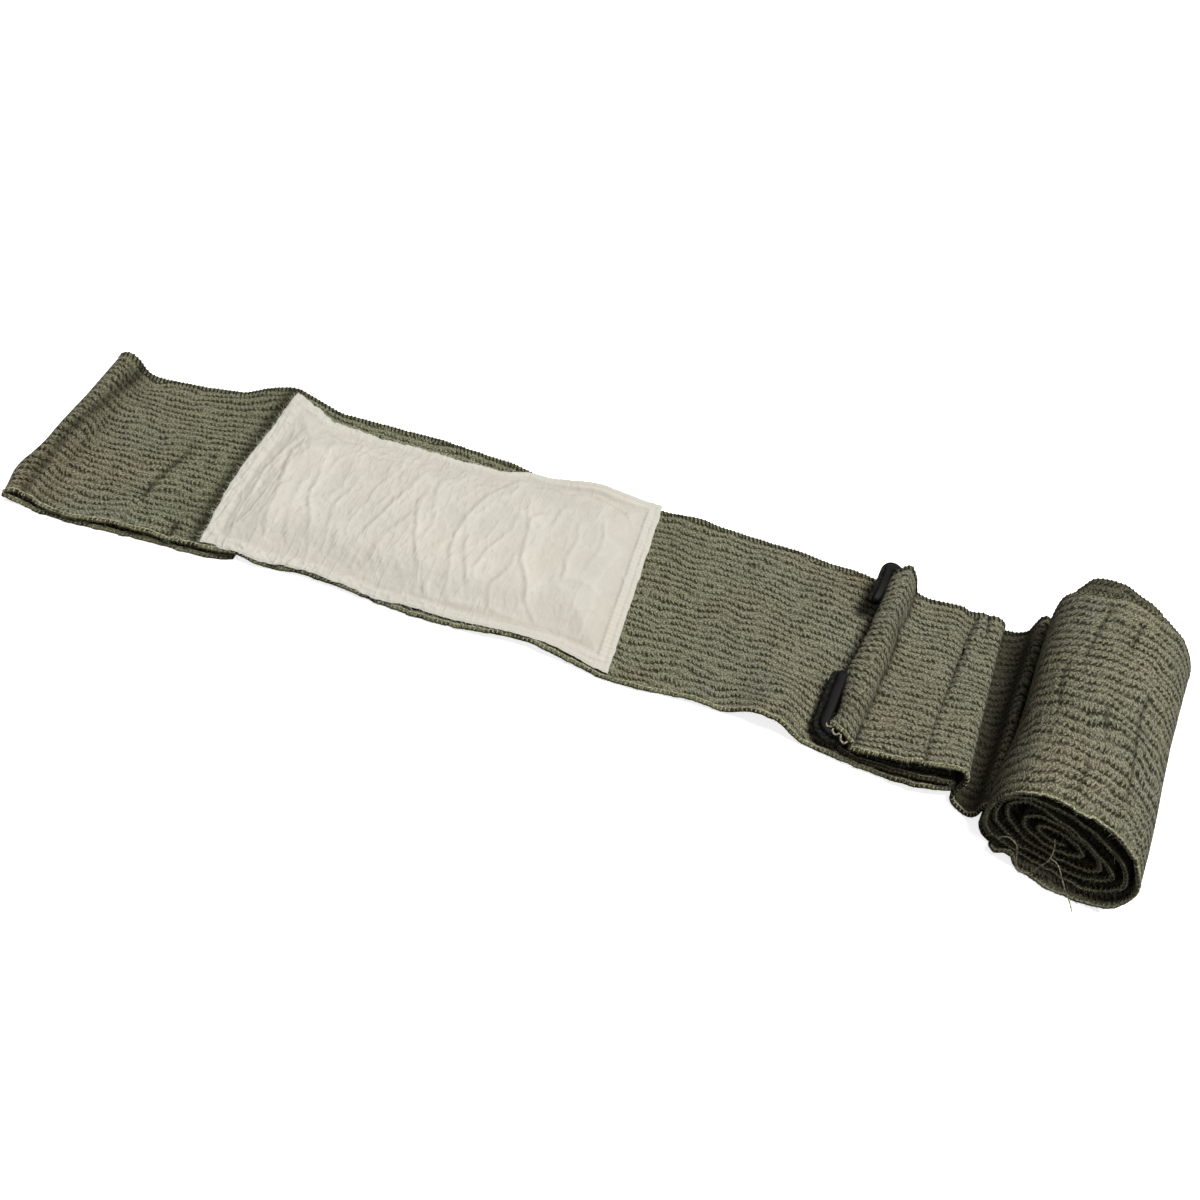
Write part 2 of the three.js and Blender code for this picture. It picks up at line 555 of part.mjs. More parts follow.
const wasm = await Module();
wasm.setup();

const bandage = new THREE.Group();
bandage.name = "trauma_bandage";
const looseStations = sampleSection(LOOSE_END);
bandage.add(piece("wrap_loose_end", looseEndGeometry(looseStations), "wrap"));
bandage.add(piece("wrap_roll", rollGeometry(), "wrap"));
bandage.add(piece("dressing_pad", padGeometry(looseStations), "pad"));

const clip = piece("pressure_clip", clipGeometry(wasm), "clip");
clip.rotation.y = CLIP_TILT;
const clipLift = new THREE.Group();
clipLift.rotation.x = CLIP_RISE;
clipLift.add(clip);
const clipSeat = new THREE.Group();
const [clipX, clipY] = planPoint(CLIP_ALONG, CLIP_ACROSS);
clipSeat.position.set(clipX, clipY, CLIP_HEIGHT);
clipSeat.rotation.z = headingAt(CLIP_ALONG);
clipSeat.add(clipLift);
bandage.add(clipSeat);

// The finished part's origin is on the surface under the middle of its box.
const middle = new THREE.Box3().setFromObject(bandage, true).getCenter(new THREE.Vector3());
bandage.position.set(-middle.x, -middle.y, 0);

export default bandage;
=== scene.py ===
"""The looks of a partly unrolled trauma bandage: knitted elastic wrap, sewn dressing pad, pressure clip and roll.

Every shape is worked out as whole numpy arrays in millimetres, in bandage coordinates: along is the distance on the
surface following the bandage's own line, across is the distance sideways from it, towards the far edge, and height is
above the surface. BandageLine turns them into X and Y, and new_piece puts them in metres into the row's frame.
"""
import logging
import math
from dataclasses import dataclass, field
from enum import Enum

import bpy
import numpy as np
from bpy.types import Material, NodeSocket, NodeTree, Object
from mathutils import Matrix, Vector


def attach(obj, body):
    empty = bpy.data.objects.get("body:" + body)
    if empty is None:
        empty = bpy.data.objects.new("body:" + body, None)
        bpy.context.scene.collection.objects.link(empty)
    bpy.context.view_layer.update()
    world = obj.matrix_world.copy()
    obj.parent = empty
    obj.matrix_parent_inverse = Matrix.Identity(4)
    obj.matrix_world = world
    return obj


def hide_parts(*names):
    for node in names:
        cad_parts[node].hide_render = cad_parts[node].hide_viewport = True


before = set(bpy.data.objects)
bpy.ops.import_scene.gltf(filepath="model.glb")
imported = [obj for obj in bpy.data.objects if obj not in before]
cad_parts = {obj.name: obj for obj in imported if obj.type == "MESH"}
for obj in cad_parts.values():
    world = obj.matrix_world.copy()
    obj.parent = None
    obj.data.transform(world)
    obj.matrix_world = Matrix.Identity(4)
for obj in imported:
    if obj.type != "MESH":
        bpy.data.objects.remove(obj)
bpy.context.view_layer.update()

LOG = logging.getLogger("trauma_bandage")

MM = 0.001  # a millimetre in metres; every length below is in millimetres
ORIGIN = np.array([-71.4446, 15.4597, 0.0])  # where the line's zero point lies in the row's frame
CLOTH = 1.5  # the wrap's thickness
LYING = CLOTH / 2  # the height of the wrap's middle where it lies on the surface
YARN_ROOM = 0.5  # how far the wrap stops short of its tables' edges, for the yarns on them
ROLL_START = 259.4  # along: where the loose end turns into the roll
CLIP_ACROSS, CLIP_HEIGHT, CLIP_RISE = 7.8, 9.8, 3.2  # the clip's middle, and its slope to the far side in degrees
BAR_WIDTH, BAR_HEIGHT = 5.5, 4.4  # the section of the clip's bar
SLEEVE_RADIUS = math.hypot(BAR_WIDTH, BAR_HEIGHT) / 2 + 0.3 + LYING + 0.1  # round the bar, with some play


class Edge(Enum):
    """The two selvedges of the wrap: the near one faces the camera."""

    NEAR = 0
    FAR = -1


# --- Numbers that are worked out the same way for every piece


class SmoothNoise:
    """Repeatable value noise: random numbers on a whole-number grid, joined by a quintic ease."""

    def __init__(self, seed: int, size: int = 256) -> None:
        """Fills the grid.

        Args:
            seed: the start of the random numbers.
            size: the grid repeats after this many steps.
        """
        self.size = size
        self.table = np.random.default_rng(seed).uniform(-1.0, 1.0, (size, size))

    def at(self, x: np.ndarray, y: np.ndarray | float = 0.0) -> np.ndarray:
        """The noise at a place: a blend of the four grid numbers round it by t*t*t*(t*(6t - 15) + 10).

        Args:
            x: first coordinate, in grid steps.
            y: second coordinate, in grid steps.

        Returns:
            Numbers from -1 to 1, in the shape of the places.
        """
        x, y = np.broadcast_arrays(np.asarray(x, float), np.asarray(y, float))
        i, j = np.floor(x).astype(int), np.floor(y).astype(int)
        s, t = x - i, y - j
        s = s * s * s * (s * (s * 6 - 15) + 10)
        t = t * t * t * (t * (t * 6 - 15) + 10)
        n = self.size
        a, b = self.table[i % n, j % n], self.table[(i + 1) % n, j % n]
        c, d = self.table[i % n, (j + 1) % n], self.table[(i + 1) % n, (j + 1) % n]
        return (a + (b - a) * s) * (1 - t) + (c + (d - c) * s) * t

    def layered(self, x: np.ndarray, y: np.ndarray | float = 0.0, layers: int = 3) -> np.ndarray:
        """The sum of layers of noise, each half as high and half as wide as the one before."""
        return sum(0.5**k * self.at(x * 2**k + 17.3 * k, np.asarray(y) * 2**k + 9.1 * k) for k in range(layers))


def ease(value: np.ndarray, low: float, high: float) -> np.ndarray:
    """Smooth step from 0 at low to 1 at high: t*t*(3 - 2t) of the clamped share t."""
    t = np.clip((value - low) / (high - low), 0.0, 1.0)
    return t * t * (3 - 2 * t)


def window(value: np.ndarray, first: float, low: float, high: float, last: float) -> np.ndarray:
    """1 between two eased ends: it rises from first to low and falls from high to last."""
    return ease(value, first, low) * (1 - ease(value, high, last))


def bell(offset: np.ndarray, reach: float) -> np.ndarray:
    """1 at offset 0, falling off on both sides: exp(-(offset/reach)^2)."""
    return np.exp(-((offset / reach) ** 2))


def eased_table(places: np.ndarray, table: list[tuple[float, ...]], column: int) -> np.ndarray:
    """A column of a table at places along its first column, with a smooth step from row to row.

    Args:
        places: where the values are wanted.
        table: rows sorted by their first number.
        column: which number of the rows is wanted.

    Returns:
        The values, in the shape of the places.
    """
    rows = np.array(table, float)
    i = np.clip(np.searchsorted(rows[:, 0], places) - 1, 0, len(rows) - 2)
    t = np.clip((places - rows[i, 0]) / (rows[i + 1, 0] - rows[i, 0]), 0.0, 1.0)
    return rows[i, column] + (rows[i + 1, column] - rows[i, column]) * t * t * (3 - 2 * t)


def centripetal(points: np.ndarray, per_span: int) -> np.ndarray:
    """A centripetal Catmull-Rom curve: each span is the cubic whose end slopes come from the neighbours' distances.

    Args:
        points: the curve's points, one a row.
        per_span: how many samples each span gets.

    Returns:
        The samples, one a row, with the last point at the end.
    """
    p = np.vstack([2 * points[0] - points[1], points, 2 * points[-1] - points[-2]])
    p0, p1, p2, p3 = p[:-3], p[1:-2], p[2:-1], p[3:]
    spans = ((p0, p1), (p1, p2), (p2, p3))
    d0, d1, d2 = (np.maximum(np.linalg.norm(b - a, axis=1), 1e-4)[:, None] ** 0.5 for a, b in spans)
    t1 = ((p1 - p0) / d0 - (p2 - p0) / (d0 + d1) + (p2 - p1) / d1) * d1
    t2 = ((p2 - p1) / d1 - (p3 - p1) / (d1 + d2) + (p3 - p2) / d2) * d1
    s = (np.arange(per_span) / per_span)[None, :, None]
    p1, p2, t1, t2 = p1[:, None], p2[:, None], t1[:, None], t2[:, None]
    curve = p1 + t1 * s + (3 * (p2 - p1) - 2 * t1 - t2) * s**2 + (2 * (p1 - p2) + t1 + t2) * s**3
    return np.vstack([curve.reshape(-1, points.shape[1]), points[-1]])


def walked(path: np.ndarray) -> np.ndarray:
    """The distance walked along a path to each of its points."""
    return np.concatenate([[0.0], np.cumsum(np.linalg.norm(np.diff(path, axis=0), axis=1))])


def sampled(at: np.ndarray, run: np.ndarray, values: np.ndarray) -> np.ndarray:
    """The values' rows, which belong to the distances in run, read off at other distances."""
    return np.stack([np.interp(at, run, column) for column in values.T], 1)


def unit(vectors: np.ndarray) -> np.ndarray:
    """The vectors at length 1, each divided by its own length."""
    return vectors / np.maximum(np.linalg.norm(vectors, axis=-1, keepdims=True), 1e-9)


def tube_grid(path: np.ndarray, radius: np.ndarray, sides: int, up: np.ndarray) -> np.ndarray:
    """A round profile carried along a path: path + radius*(cos a*side + sin a*lift), square to the path.

    Args:
        path: points (..., n, 3) of one or many paths.
        radius: the radius at each point, (..., n).
        sides: how many corners the profile has.
        up: a direction that is nowhere along the path.

    Returns:
        Points (..., n, sides, 3).
    """
    ahead = unit(np.gradient(path, axis=-2))
    side = unit(np.cross(ahead, up))
    lift = np.cross(side, ahead)
    a = 2 * math.pi * np.arange(sides) / sides
    ring = np.cos(a)[:, None] * side[..., None, :] + np.sin(a)[:, None] * lift[..., None, :]
    return path[..., None, :] + radius[..., None, None] * ring


class BandageLine:
    """The line that the wrap follows on the surface, bent by its table of headings in degrees."""

    HEADINGS = [(-100, 2.5), (-60, 0), (110, 0), (170, -11), (206, -11), (230, -9), (262, -17)]
    STEP = 0.25

    def __init__(self) -> None:
        """Adds up short steps along the heading, from 0 both ways."""
        self.place = np.arange(-260, 361, self.STEP)
        self.angle = np.radians(eased_table(self.place, self.HEADINGS, 1))
        steps = np.stack([np.cos(self.angle), np.sin(self.angle)], 1) * self.STEP
        points = np.vstack([[0.0, 0.0], np.cumsum((steps[1:] + steps[:-1]) / 2, 0)])
        self.points = points - points[np.argmin(np.abs(self.place))]

    def heading(self, along: np.ndarray | float) -> np.ndarray:
        """The line's heading at a distance along it, in radians."""
        return np.interp(along, self.place, self.angle)

    def spot(self, along: np.ndarray, across: np.ndarray, height: np.ndarray) -> np.ndarray:
        """The points at bandage coordinates: the line's point plus across times the line's left side, and the height.

        Args:
            along: distance along the line.
            across: distance to the far side of it.
            height: height above the surface.

        Returns:
            X, Y and height, in millimetres, as the last axis.
        """
        h = self.heading(along)
        x = np.interp(along, self.place, self.points[:, 0]) - across * np.sin(h)
        y = np.interp(along, self.place, self.points[:, 1]) + across * np.cos(h)
        return np.stack([x, y, height], -1)


class Swells:
    """Broad rounded hills in the cloth: height*(1 - r*r)^2 inside an ellipse that may lean along."""

    # along, across, height, reach along, reach across, lean
    HILLS = [
        (-166, 42, 2.2, 13, 40, 0), (-92, 52, 5.4, 24, 36, -0.15), (-120, -53, 0.6, 24, 18, 0.2),
        (-155.5, -24, 1.8, 6, 15, -0.1), (-34, -50, 1.6, 26, 12, 0), (50, -50, 3.2, 34, 14, 0),
        (56, 52, 2.4, 26, 14, 0), (106, 52, 2.2, 14, 22, 0), (122, -50, 1.6, 16, 18, 0), (158, -50, 7.5, 20, 44, 0.2),
        (140, 30, 1.4, 16, 42, 0.3), (226, -46, 1.6, 16, 26, 0), (226, -36, 1.8, 26, 36, 0), (246, 60, 1.6, 9, 76, 0),
    ]

    def height(self, along: np.ndarray, across: np.ndarray) -> np.ndarray:
        """The sum of the hills at each place."""
        total = np.zeros(np.broadcast(along, across).shape)
        for a0, c0, high, ra, rc, lean in self.HILLS:
            r2 = ((along - a0 - lean * (across - c0)) / ra) ** 2 + ((across - c0) / rc) ** 2
            total += high * np.clip(1 - r2, 0, None) ** 2
        return total


# --- Meshes


def grid_faces(rows: int, columns: int, start: int = 0, closed: bool = False) -> np.ndarray:
    """Four-sided faces of a grid whose points are numbered row by row.

    Args:
        rows: number of rows.
        columns: number of points in a row.
        start: number of the grid's first point.
        closed: whether each row's last point joins its first.

    Returns:
        The faces' point numbers, four a row.
    """
    i = np.arange(rows - 1)[:, None]
    j = np.arange(columns if closed else columns - 1)[None, :]
    k = (j + 1) % columns
    quads = np.stack([i * columns + j, i * columns + k, (i + 1) * columns + k, (i + 1) * columns + j], -1)
    return quads.reshape(-1, 4) + start


def new_piece(
    name: str,
    points: np.ndarray,
    faces: list[np.ndarray],
    material: Material,
    uv: np.ndarray | None = None,
    fields: dict[str, np.ndarray] | None = None,
) -> Object:
    """A mesh object in the row's frame that rides on the part.

    Args:
        name: the piece's name.
        points: corners in millimetres in the line's frame, one a row.
        faces: arrays of point numbers, each array with faces of one size.
        material: its finish.
        uv: a place on the cloth in metres for each corner, if the piece has one.
        fields: numbers for each corner, by the attribute's name.

    Returns:
        The new object.
    """
    mesh = bpy.data.meshes.new(name)
    places = (points + ORIGIN) * MM
    loops = np.concatenate([f.ravel() for f in faces]).astype(np.int32)
    sizes = np.concatenate([np.full(len(f), f.shape[1]) for f in faces]).astype(np.int32)
    mesh.vertices.add(len(places))
    mesh.vertices.foreach_set("co", places.astype(np.float32).ravel())
    mesh.loops.add(len(loops))
    mesh.loops.foreach_set("vertex_index", loops)
    mesh.polygons.add(len(sizes))
    mesh.polygons.foreach_set("loop_start", np.concatenate([[0], np.cumsum(sizes)[:-1]]).astype(np.int32))
    mesh.polygons.foreach_set("loop_total", sizes)
    if uv is not None:
        layer = mesh.uv_layers.new(name="cloth_place")
        layer.data.foreach_set("uv", uv[loops].astype(np.float32).ravel())
    for key, values in (fields or {}).items():
        mesh.attributes.new(key, "FLOAT", "POINT").data.foreach_set("value", values.astype(np.float32).ravel())
    mesh.update(calc_edges=True)
    mesh.validate()
    mesh.shade_smooth()
    mesh.materials.append(material)
    piece = bpy.data.objects.new(name, mesh)
    bpy.context.scene.collection.objects.link(piece)
    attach(piece, "root")
    LOG.info("%s: %d corners, %d faces", name, len(places), len(sizes))
    return piece


@dataclass
class ClothGrid:
    """The middle of a cloth as a grid: rows run along it, and columns from the near edge to the far edge."""

    middle: np.ndarray  # (rows, columns, 3) in millimetres
    along_cloth: np.ndarray  # (rows,) distance on the cloth
    across: np.ndarray  # (rows, columns) distance from the line
    shade: np.ndarray  # (rows, columns) how much shade is painted there, 0 to 1
    weft: np.ndarray  # (rows, columns) place across the knit, which is cut to one width
    rim_steps: int = 3

    def normals(self) -> np.ndarray:
        """The grid's normals: the change along the rows crossed with the change along the columns."""
        return unit(np.cross(np.gradient(self.middle, axis=0), np.gradient(self.middle, axis=1)))

    def edge(self, which: Edge) -> tuple[np.ndarray, np.ndarray, np.ndarray]:
        """One selvedge of the cloth.

        Args:
            which: the near or the far edge.

        Returns:
            Its points, the direction out of the cloth at each, and the cloth's normal there.
        """
        e = which.value
        inner = 1 if e == 0 else -2
        return self.middle[:, e], unit(self.middle[:, e] - self.middle[:, inner]), self.normals()[:, e]

    def rim(self, which: Edge, angles: np.ndarray) -> np.ndarray:
        """A selvedge's round rim: the edge's points + half the thickness*(cos a*normal + sin a*outwards)."""
        edge, out, up = (part[:, None] for part in self.edge(which))
        return edge + CLOTH / 2 * (np.cos(angles)[:, None] * up + np.sin(angles)[:, None] * out)

    @staticmethod
    def around(values: np.ndarray, bulge: np.ndarray) -> np.ndarray:
        """The grid's numbers carried round the skin: upper face, far rim, lower face, near rim."""
        return np.concatenate([values, values[:, -1:] + bulge, values[:, ::-1], values[:, :1] - bulge[::-1]], axis=1)

    def piece(self, name: str, material: Material) -> Object:
        """The cloth as a closed skin: both faces lie half the thickness along the normals, with round rims.

        Args:
            name: the piece's name.
            material: its finish.

        Returns:
            The cloth's object.
        """
        n, m = self.middle.shape[:2]
        k = self.rim_steps
        lift = CLOTH / 2 * self.normals()
        angles = math.pi * (np.arange(k) + 1) / (k + 1)
        ring = np.concatenate(
            [
                self.middle + lift, self.rim(Edge.FAR, angles),
                (self.middle - lift)[:, ::-1], self.rim(Edge.NEAR, angles[::-1]),
            ],
            axis=1,
        )
        ring[..., 2] = np.maximum(ring[..., 2], 0.0)
        columns = ring.shape[1]
        bulge = CLOTH / 2 * np.sin(angles)
        across, weft, shade = (
            self.around(values, b) for values, b in ((self.across, bulge), (self.weft, bulge), (self.shade, 0 * bulge))
        )
        inset = np.minimum(self.across[:, -1:] - across, across - self.across[:, :1])
        j = np.arange(m - 1)
        bridge = np.stack([j, 2 * m + k - 1 - j, 2 * m + k - 2 - j, j + 1], 1)[:, ::-1]
        far_cap = np.arange(m - 1, m + k + 1)[None, ::-1]
        near_cap = np.concatenate([np.arange(2 * m + k - 1, columns), [0]])[None, ::-1]
        ends = [part for cap in (bridge, far_cap, near_cap) for part in (cap, cap[:, ::-1] + (n - 1) * columns)]
        uv = np.stack([np.broadcast_to(self.along_cloth[:, None], weft.shape), weft], -1) * MM
        faces = [grid_faces(n, columns, closed=True)[:, ::-1], *ends]
        # the crease attribute carries the painted shade
        fields = {"crease": shade.ravel(), "inset": inset.ravel()}
        return new_piece(name, ring.reshape(-1, 3), faces, material, uv.reshape(-1, 2), fields)


# --- Finishes


class Value:
    """An output of a node: arithmetic on it adds Math nodes."""

    def __init__(self, w: "Wiring", socket: NodeSocket) -> None:
        """Wraps an output socket in the wiring's tree."""
        self.w, self.socket = w, socket

    def __add__(self, other: "Number") -> "Value":
        """The sum."""
        return self.w.math("ADD", self, other)

    def __sub__(self, other: "Number") -> "Value":
        """The difference."""
        return self.w.math("SUBTRACT", self, other)

    def __rsub__(self, other: float) -> "Value":
        """A plain number less this one."""
        return self.w.math("SUBTRACT", other, self)

    def __mul__(self, other: "Number") -> "Value":
        """The product."""
        return self.w.math("MULTIPLY", self, other)

    def __truediv__(self, other: "Number") -> "Value":
        """The quotient."""
        return self.w.math("DIVIDE", self, other)

    def __pow__(self, other: float) -> "Value":
        """The power."""
        return self.w.math("POWER", self, other)

    def __abs__(self) -> "Value":
        """The number without its sign."""
        return self.w.math("ABSOLUTE", self)

    def clamped(self) -> "Value":
        """This number, held between 0 and 1 by its own Math node."""
        self.socket.node.use_clamp = True
        return self

    __radd__, __rmul__ = __add__, __mul__


Number = Value | float
BLACK = (0.0, 0.0, 0.0, 1.0)


class Wiring:
    """Places nodes in a tree and joins them: an output given as a value is linked, and a number is set."""

    def __init__(self, tree: NodeTree) -> None:
        """Works on one node tree."""
        self.tree = tree

    def feed(self, socket: NodeSocket, value: object) -> None:
        """Links or sets one input."""
        if isinstance(value, Value):
            self.tree.links.new(value.socket, socket)
        else:
            socket.default_value = value

    def value(self, kind: str, inputs: dict | None = None, output: int | str = 0, **settings: object) -> Value:
        """Adds a node and gives one of its outputs.

        Args:
            kind: Blender's name of the node, after ShaderNode.
            inputs: numbers or outputs of other nodes, by the input's name or number.
            output: the name or number of the output.
            settings: the node's own settings.

        Returns:
            The output.
        """
        node = self.tree.nodes.new("ShaderNode" + kind)
        for key, setting in settings.items():
            setattr(node, key, setting)
        for key, given in (inputs or {}).items():
            self.feed(node.inputs[key], given)
        return Value(self, node.outputs[output])

    def math(self, operation: str, *values: Number) -> Value:
        """A Math node on the values, and its result."""
        return self.value("Math", dict(enumerate(values)), operation=operation)

    def span(self, value: Value, low: float, high: float, start: float = 0.0, end: float = 1.0) -> Value:
        """A smooth step of the value, from start at low to end at high."""
        inputs = {"Value": value, "From Min": low, "From Max": high, "To Min": start, "To Max": end}
        return self.value("MapRange", inputs, interpolation_type="SMOOTHSTEP")

    def noise(self, place: Value, scale: Number, detail: float = 2.0, rough: float = 0.5) -> Value:
        """Blender's noise at a place, around 0.5."""
        return self.value("TexNoise", {"Vector": place, "Scale": scale, "Detail": detail, "Roughness": rough})

    def split(self, vector: Value) -> tuple[Value, Value]:
        """The first two numbers of a vector."""
        outputs = self.value("SeparateXYZ", {0: vector}).socket.node.outputs
        return Value(self, outputs[0]), Value(self, outputs[1])

    def vector(self, x: Value, y: Value, z: Number = 0.0) -> Value:
        """A vector from three numbers."""
        return self.value("CombineXYZ", {0: x, 1: y, 2: z})

    def blend(self, factor: Number, first: object, second: object, how: str = "MIX") -> Value:
        """A colour between the first and the second."""
        return self.value("Mix", {0: factor, 6: first, 7: second}, 2, data_type="RGBA", blend_type=how)

    def attribute(self, name: str) -> Value:
        """A number that the mesh holds for each corner."""
        return self.value("Attribute", output="Fac", attribute_name=name)

    def cloth_place(self) -> Value:
        """The place on the cloth, in metres."""
        return self.value("UVMap", uv_map="cloth_place")

    def object_place(self) -> Value:
        """The place in the part's frame, in metres."""
        return self.value("TexCoord", output="Object")

    def group(self, tree: NodeTree, inputs: dict) -> dict[str, Value]:
        """Places a group, feeds it, and gives its outputs by name."""
        node = self.value("Group", inputs, node_tree=tree).socket.node
        return {socket.name: Value(self, socket) for socket in node.outputs}

    def shader(self, **inputs: object) -> None:
        """Feeds the material's own shader, by its inputs' names with _ for each space."""
        for key, value in inputs.items():
            self.feed(self.tree.nodes["Principled BSDF"].inputs[key.replace("_", " ")], value)

    def bump(self, height: Value, strength: float, distance: float) -> Value:
        """The normal that a height gives, with its greatest depth in metres."""
        return self.value("Bump", {"Height": height, "Strength": strength, "Distance": distance})


FLOAT, COLOUR, VECTOR = "NodeSocketFloat", "NodeSocketColor", "NodeSocketVector"


def new_group(
    name: str, inputs: dict[str, tuple[str, float | None]], outputs: dict[str, str]
) -> tuple[Wiring, dict[str, Value], dict[str, NodeSocket]]:
    """An empty node group with named sockets.

    Args:
        name: the group's name.
        inputs: kind and starting value of each input, by name.
        outputs: kind of each output, by name.

    Returns:
        Its wiring, its inputs' values inside the group, and its outputs' sockets to feed.
    """
    tree = bpy.data.node_groups.new(name, "ShaderNodeTree")
    for key, (kind, start) in inputs.items():
        socket = tree.interface.new_socket(name=key, in_out="INPUT", socket_type=kind)
        if start is not None:
            socket.default_value = start
    for key, kind in outputs.items():
        tree.interface.new_socket(name=key, in_out="OUTPUT", socket_type=kind)
    w = Wiring(tree)
    entry, leave = tree.nodes.new("NodeGroupInput"), tree.nodes.new("NodeGroupOutput")
    return w, {s.name: Value(w, s) for s in entry.outputs if s.name}, {s.name: s for s in leave.inputs if s.name}


@dataclass(frozen=True)
class KnitPattern:
    """The knit's rows: dark slanting stitches in broken wavy lines, with pale threads between them."""

    row_pitch: float = 3.7
    stitch_length: float = 1.95
    slant: float = 1.25
    line_width: float = 0.90
    jog: float = 1.35
    taper: float = -0.9
    thread_turns: float = 6.0

    def group(self) -> NodeTree:
        """The node group that gives the dark mask and the relief at a place on the cloth in metres.

        The place is jogged by fine noise and moved across by slow noise, cut into rows, and each row into stitches.
        A stitch is dark where the distance from its slanting middle line is under the line's width. It fades at
        both ends, and a few of the stitches are faint.

        Returns:
            The group, with the outputs Dark, Thread and Relief.
        """
        w, given, out = new_group(
            "knit_rows",
            {"Place": (VECTOR, None), "Wander": (FLOAT, 1.6), "Wear": (FLOAT, 0.5)},
            {"Dark": FLOAT, "Thread": FLOAT, "Relief": FLOAT},
        )
        place = given["Place"]
        x, y = w.split(place)
        jogs = w.split(w.value("TexNoise", {"Vector": place, "Scale": 1150.0, "Detail": 1.0}, "Color"))
        u, v = (side * 1000.0 + (jog - 0.5) * self.jog for side, jog in zip((x, y), jogs))
        v = v + (w.noise(place, 58.0, 1.0) - 0.5) * (given["Wander"] * 5.2)
        v = v + (w.noise(place, 170.0) - 0.5) * given["Wander"]
        row = v / self.row_pitch
        number = w.math("FLOOR", row)
        level = (w.math("FRACT", row) - 0.5) * self.row_pitch
        chance = w.value("TexWhiteNoise", {"W": number}, noise_dimensions="1D")
        stitch = u / self.stitch_length + chance * 7.0 + w.noise(place, 310.0, 1.0) * 1.1
        part = w.math("FRACT", stitch) - 0.5
        off = abs(level + part * self.slant)
        which = w.vector(w.math("FLOOR", stitch), number)
        strength = w.value("TexWhiteNoise", {"Vector": which}, noise_dimensions="2D")
        width = (strength * 0.5 + 0.68) * self.line_width * (part * self.taper + 1.0)
        dash = (1.0 - off / width).clamped() ** 0.4
        dash = dash * w.span(abs(part), 0.38, 0.50, 1.0, 0.72) * w.span(strength, 0.0, 0.16, 0.45, 1.0)
        patchy = w.span(w.noise(place, 140.0, 3.0, 0.65), 0.36, 0.54, 0.15, 1.0)
        dark = (dash * (1.0 - given["Wear"] * (1.0 - patchy))).clamped()
        thread = w.math("SINE", u * self.thread_turns + abs(level) * 3.4) * 0.5 + 0.5
        fuzz = w.noise(place, 900.0, 3.0, 0.65)
        swell = w.math("COSINE", level * (2 * math.pi / self.row_pitch))
        relief = thread * 0.35 - dark * 0.85 + swell * -0.22 + fuzz * 0.6
        for key, value in {"Dark": dark, "Thread": thread, "Relief": relief}.items():
            w.feed(out[key], value)
        return w.tree


def tone_drift_group() -> NodeTree:
    """The node group for uneven tone: slow noise at a place in metres turns a colour lighter, darker and warmer.

    Returns:
        The group, with the inputs Place, Colour, Size and Amount and the output Colour.
    """
    w, given, out = new_group(
        "tone_drift",
        {"Place": (VECTOR, None), "Colour": (COLOUR, None), "Size": (FLOAT, 40.0), "Amount": (FLOAT, 0.12)},
        {"Colour": COLOUR},
    )
    place, size, amount = given["Place"], given["Size"], given["Amount"]
    level = (w.noise(place, size) - 0.5) * (amount * 2.2) + 1.0
    tint = (w.noise(place, size * 0.55, 1.0) - 0.5) * amount
    w.feed(out["Colour"], w.blend(1.0, given["Colour"], w.vector(level + tint, level, level - tint), "MULTIPLY"))
    return w.tree


class SharedGroups:
    """The node groups that the finishes share, each built once."""

    def __init__(self) -> None:
        """Builds the groups."""
        self.knit = KnitPattern().group()
        self.drift = tone_drift_group()

    def drifted(self, w: Wiring, place: Value, colour: Value, size: float, amount: float) -> Value:
        """A colour sent through the tone group."""
        return w.group(self.drift, {"Place": place, "Colour": colour, "Size": size, "Amount": amount})["Colour"]


class Finish:
    """A finish: its plain numbers are set on the shader's own sockets, and dress() adds the nodes."""

    PLAIN: dict[str, float] = {}

    def material(self, groups: SharedGroups, name: str) -> Material:
        """The finish as a material.

        Args:
            groups: the shared groups.
            name: the material's name.

        Returns:
            The material.
        """
        material = bpy.data.materials.new(name)
        material.use_nodes = True
        w = Wiring(material.node_tree)
        w.shader(**self.PLAIN)
        self.dress(w, groups)
        return material

    def dress(self, w: Wiring, groups: SharedGroups) -> None:
        """Adds the finish's nodes."""
        raise NotImplementedError


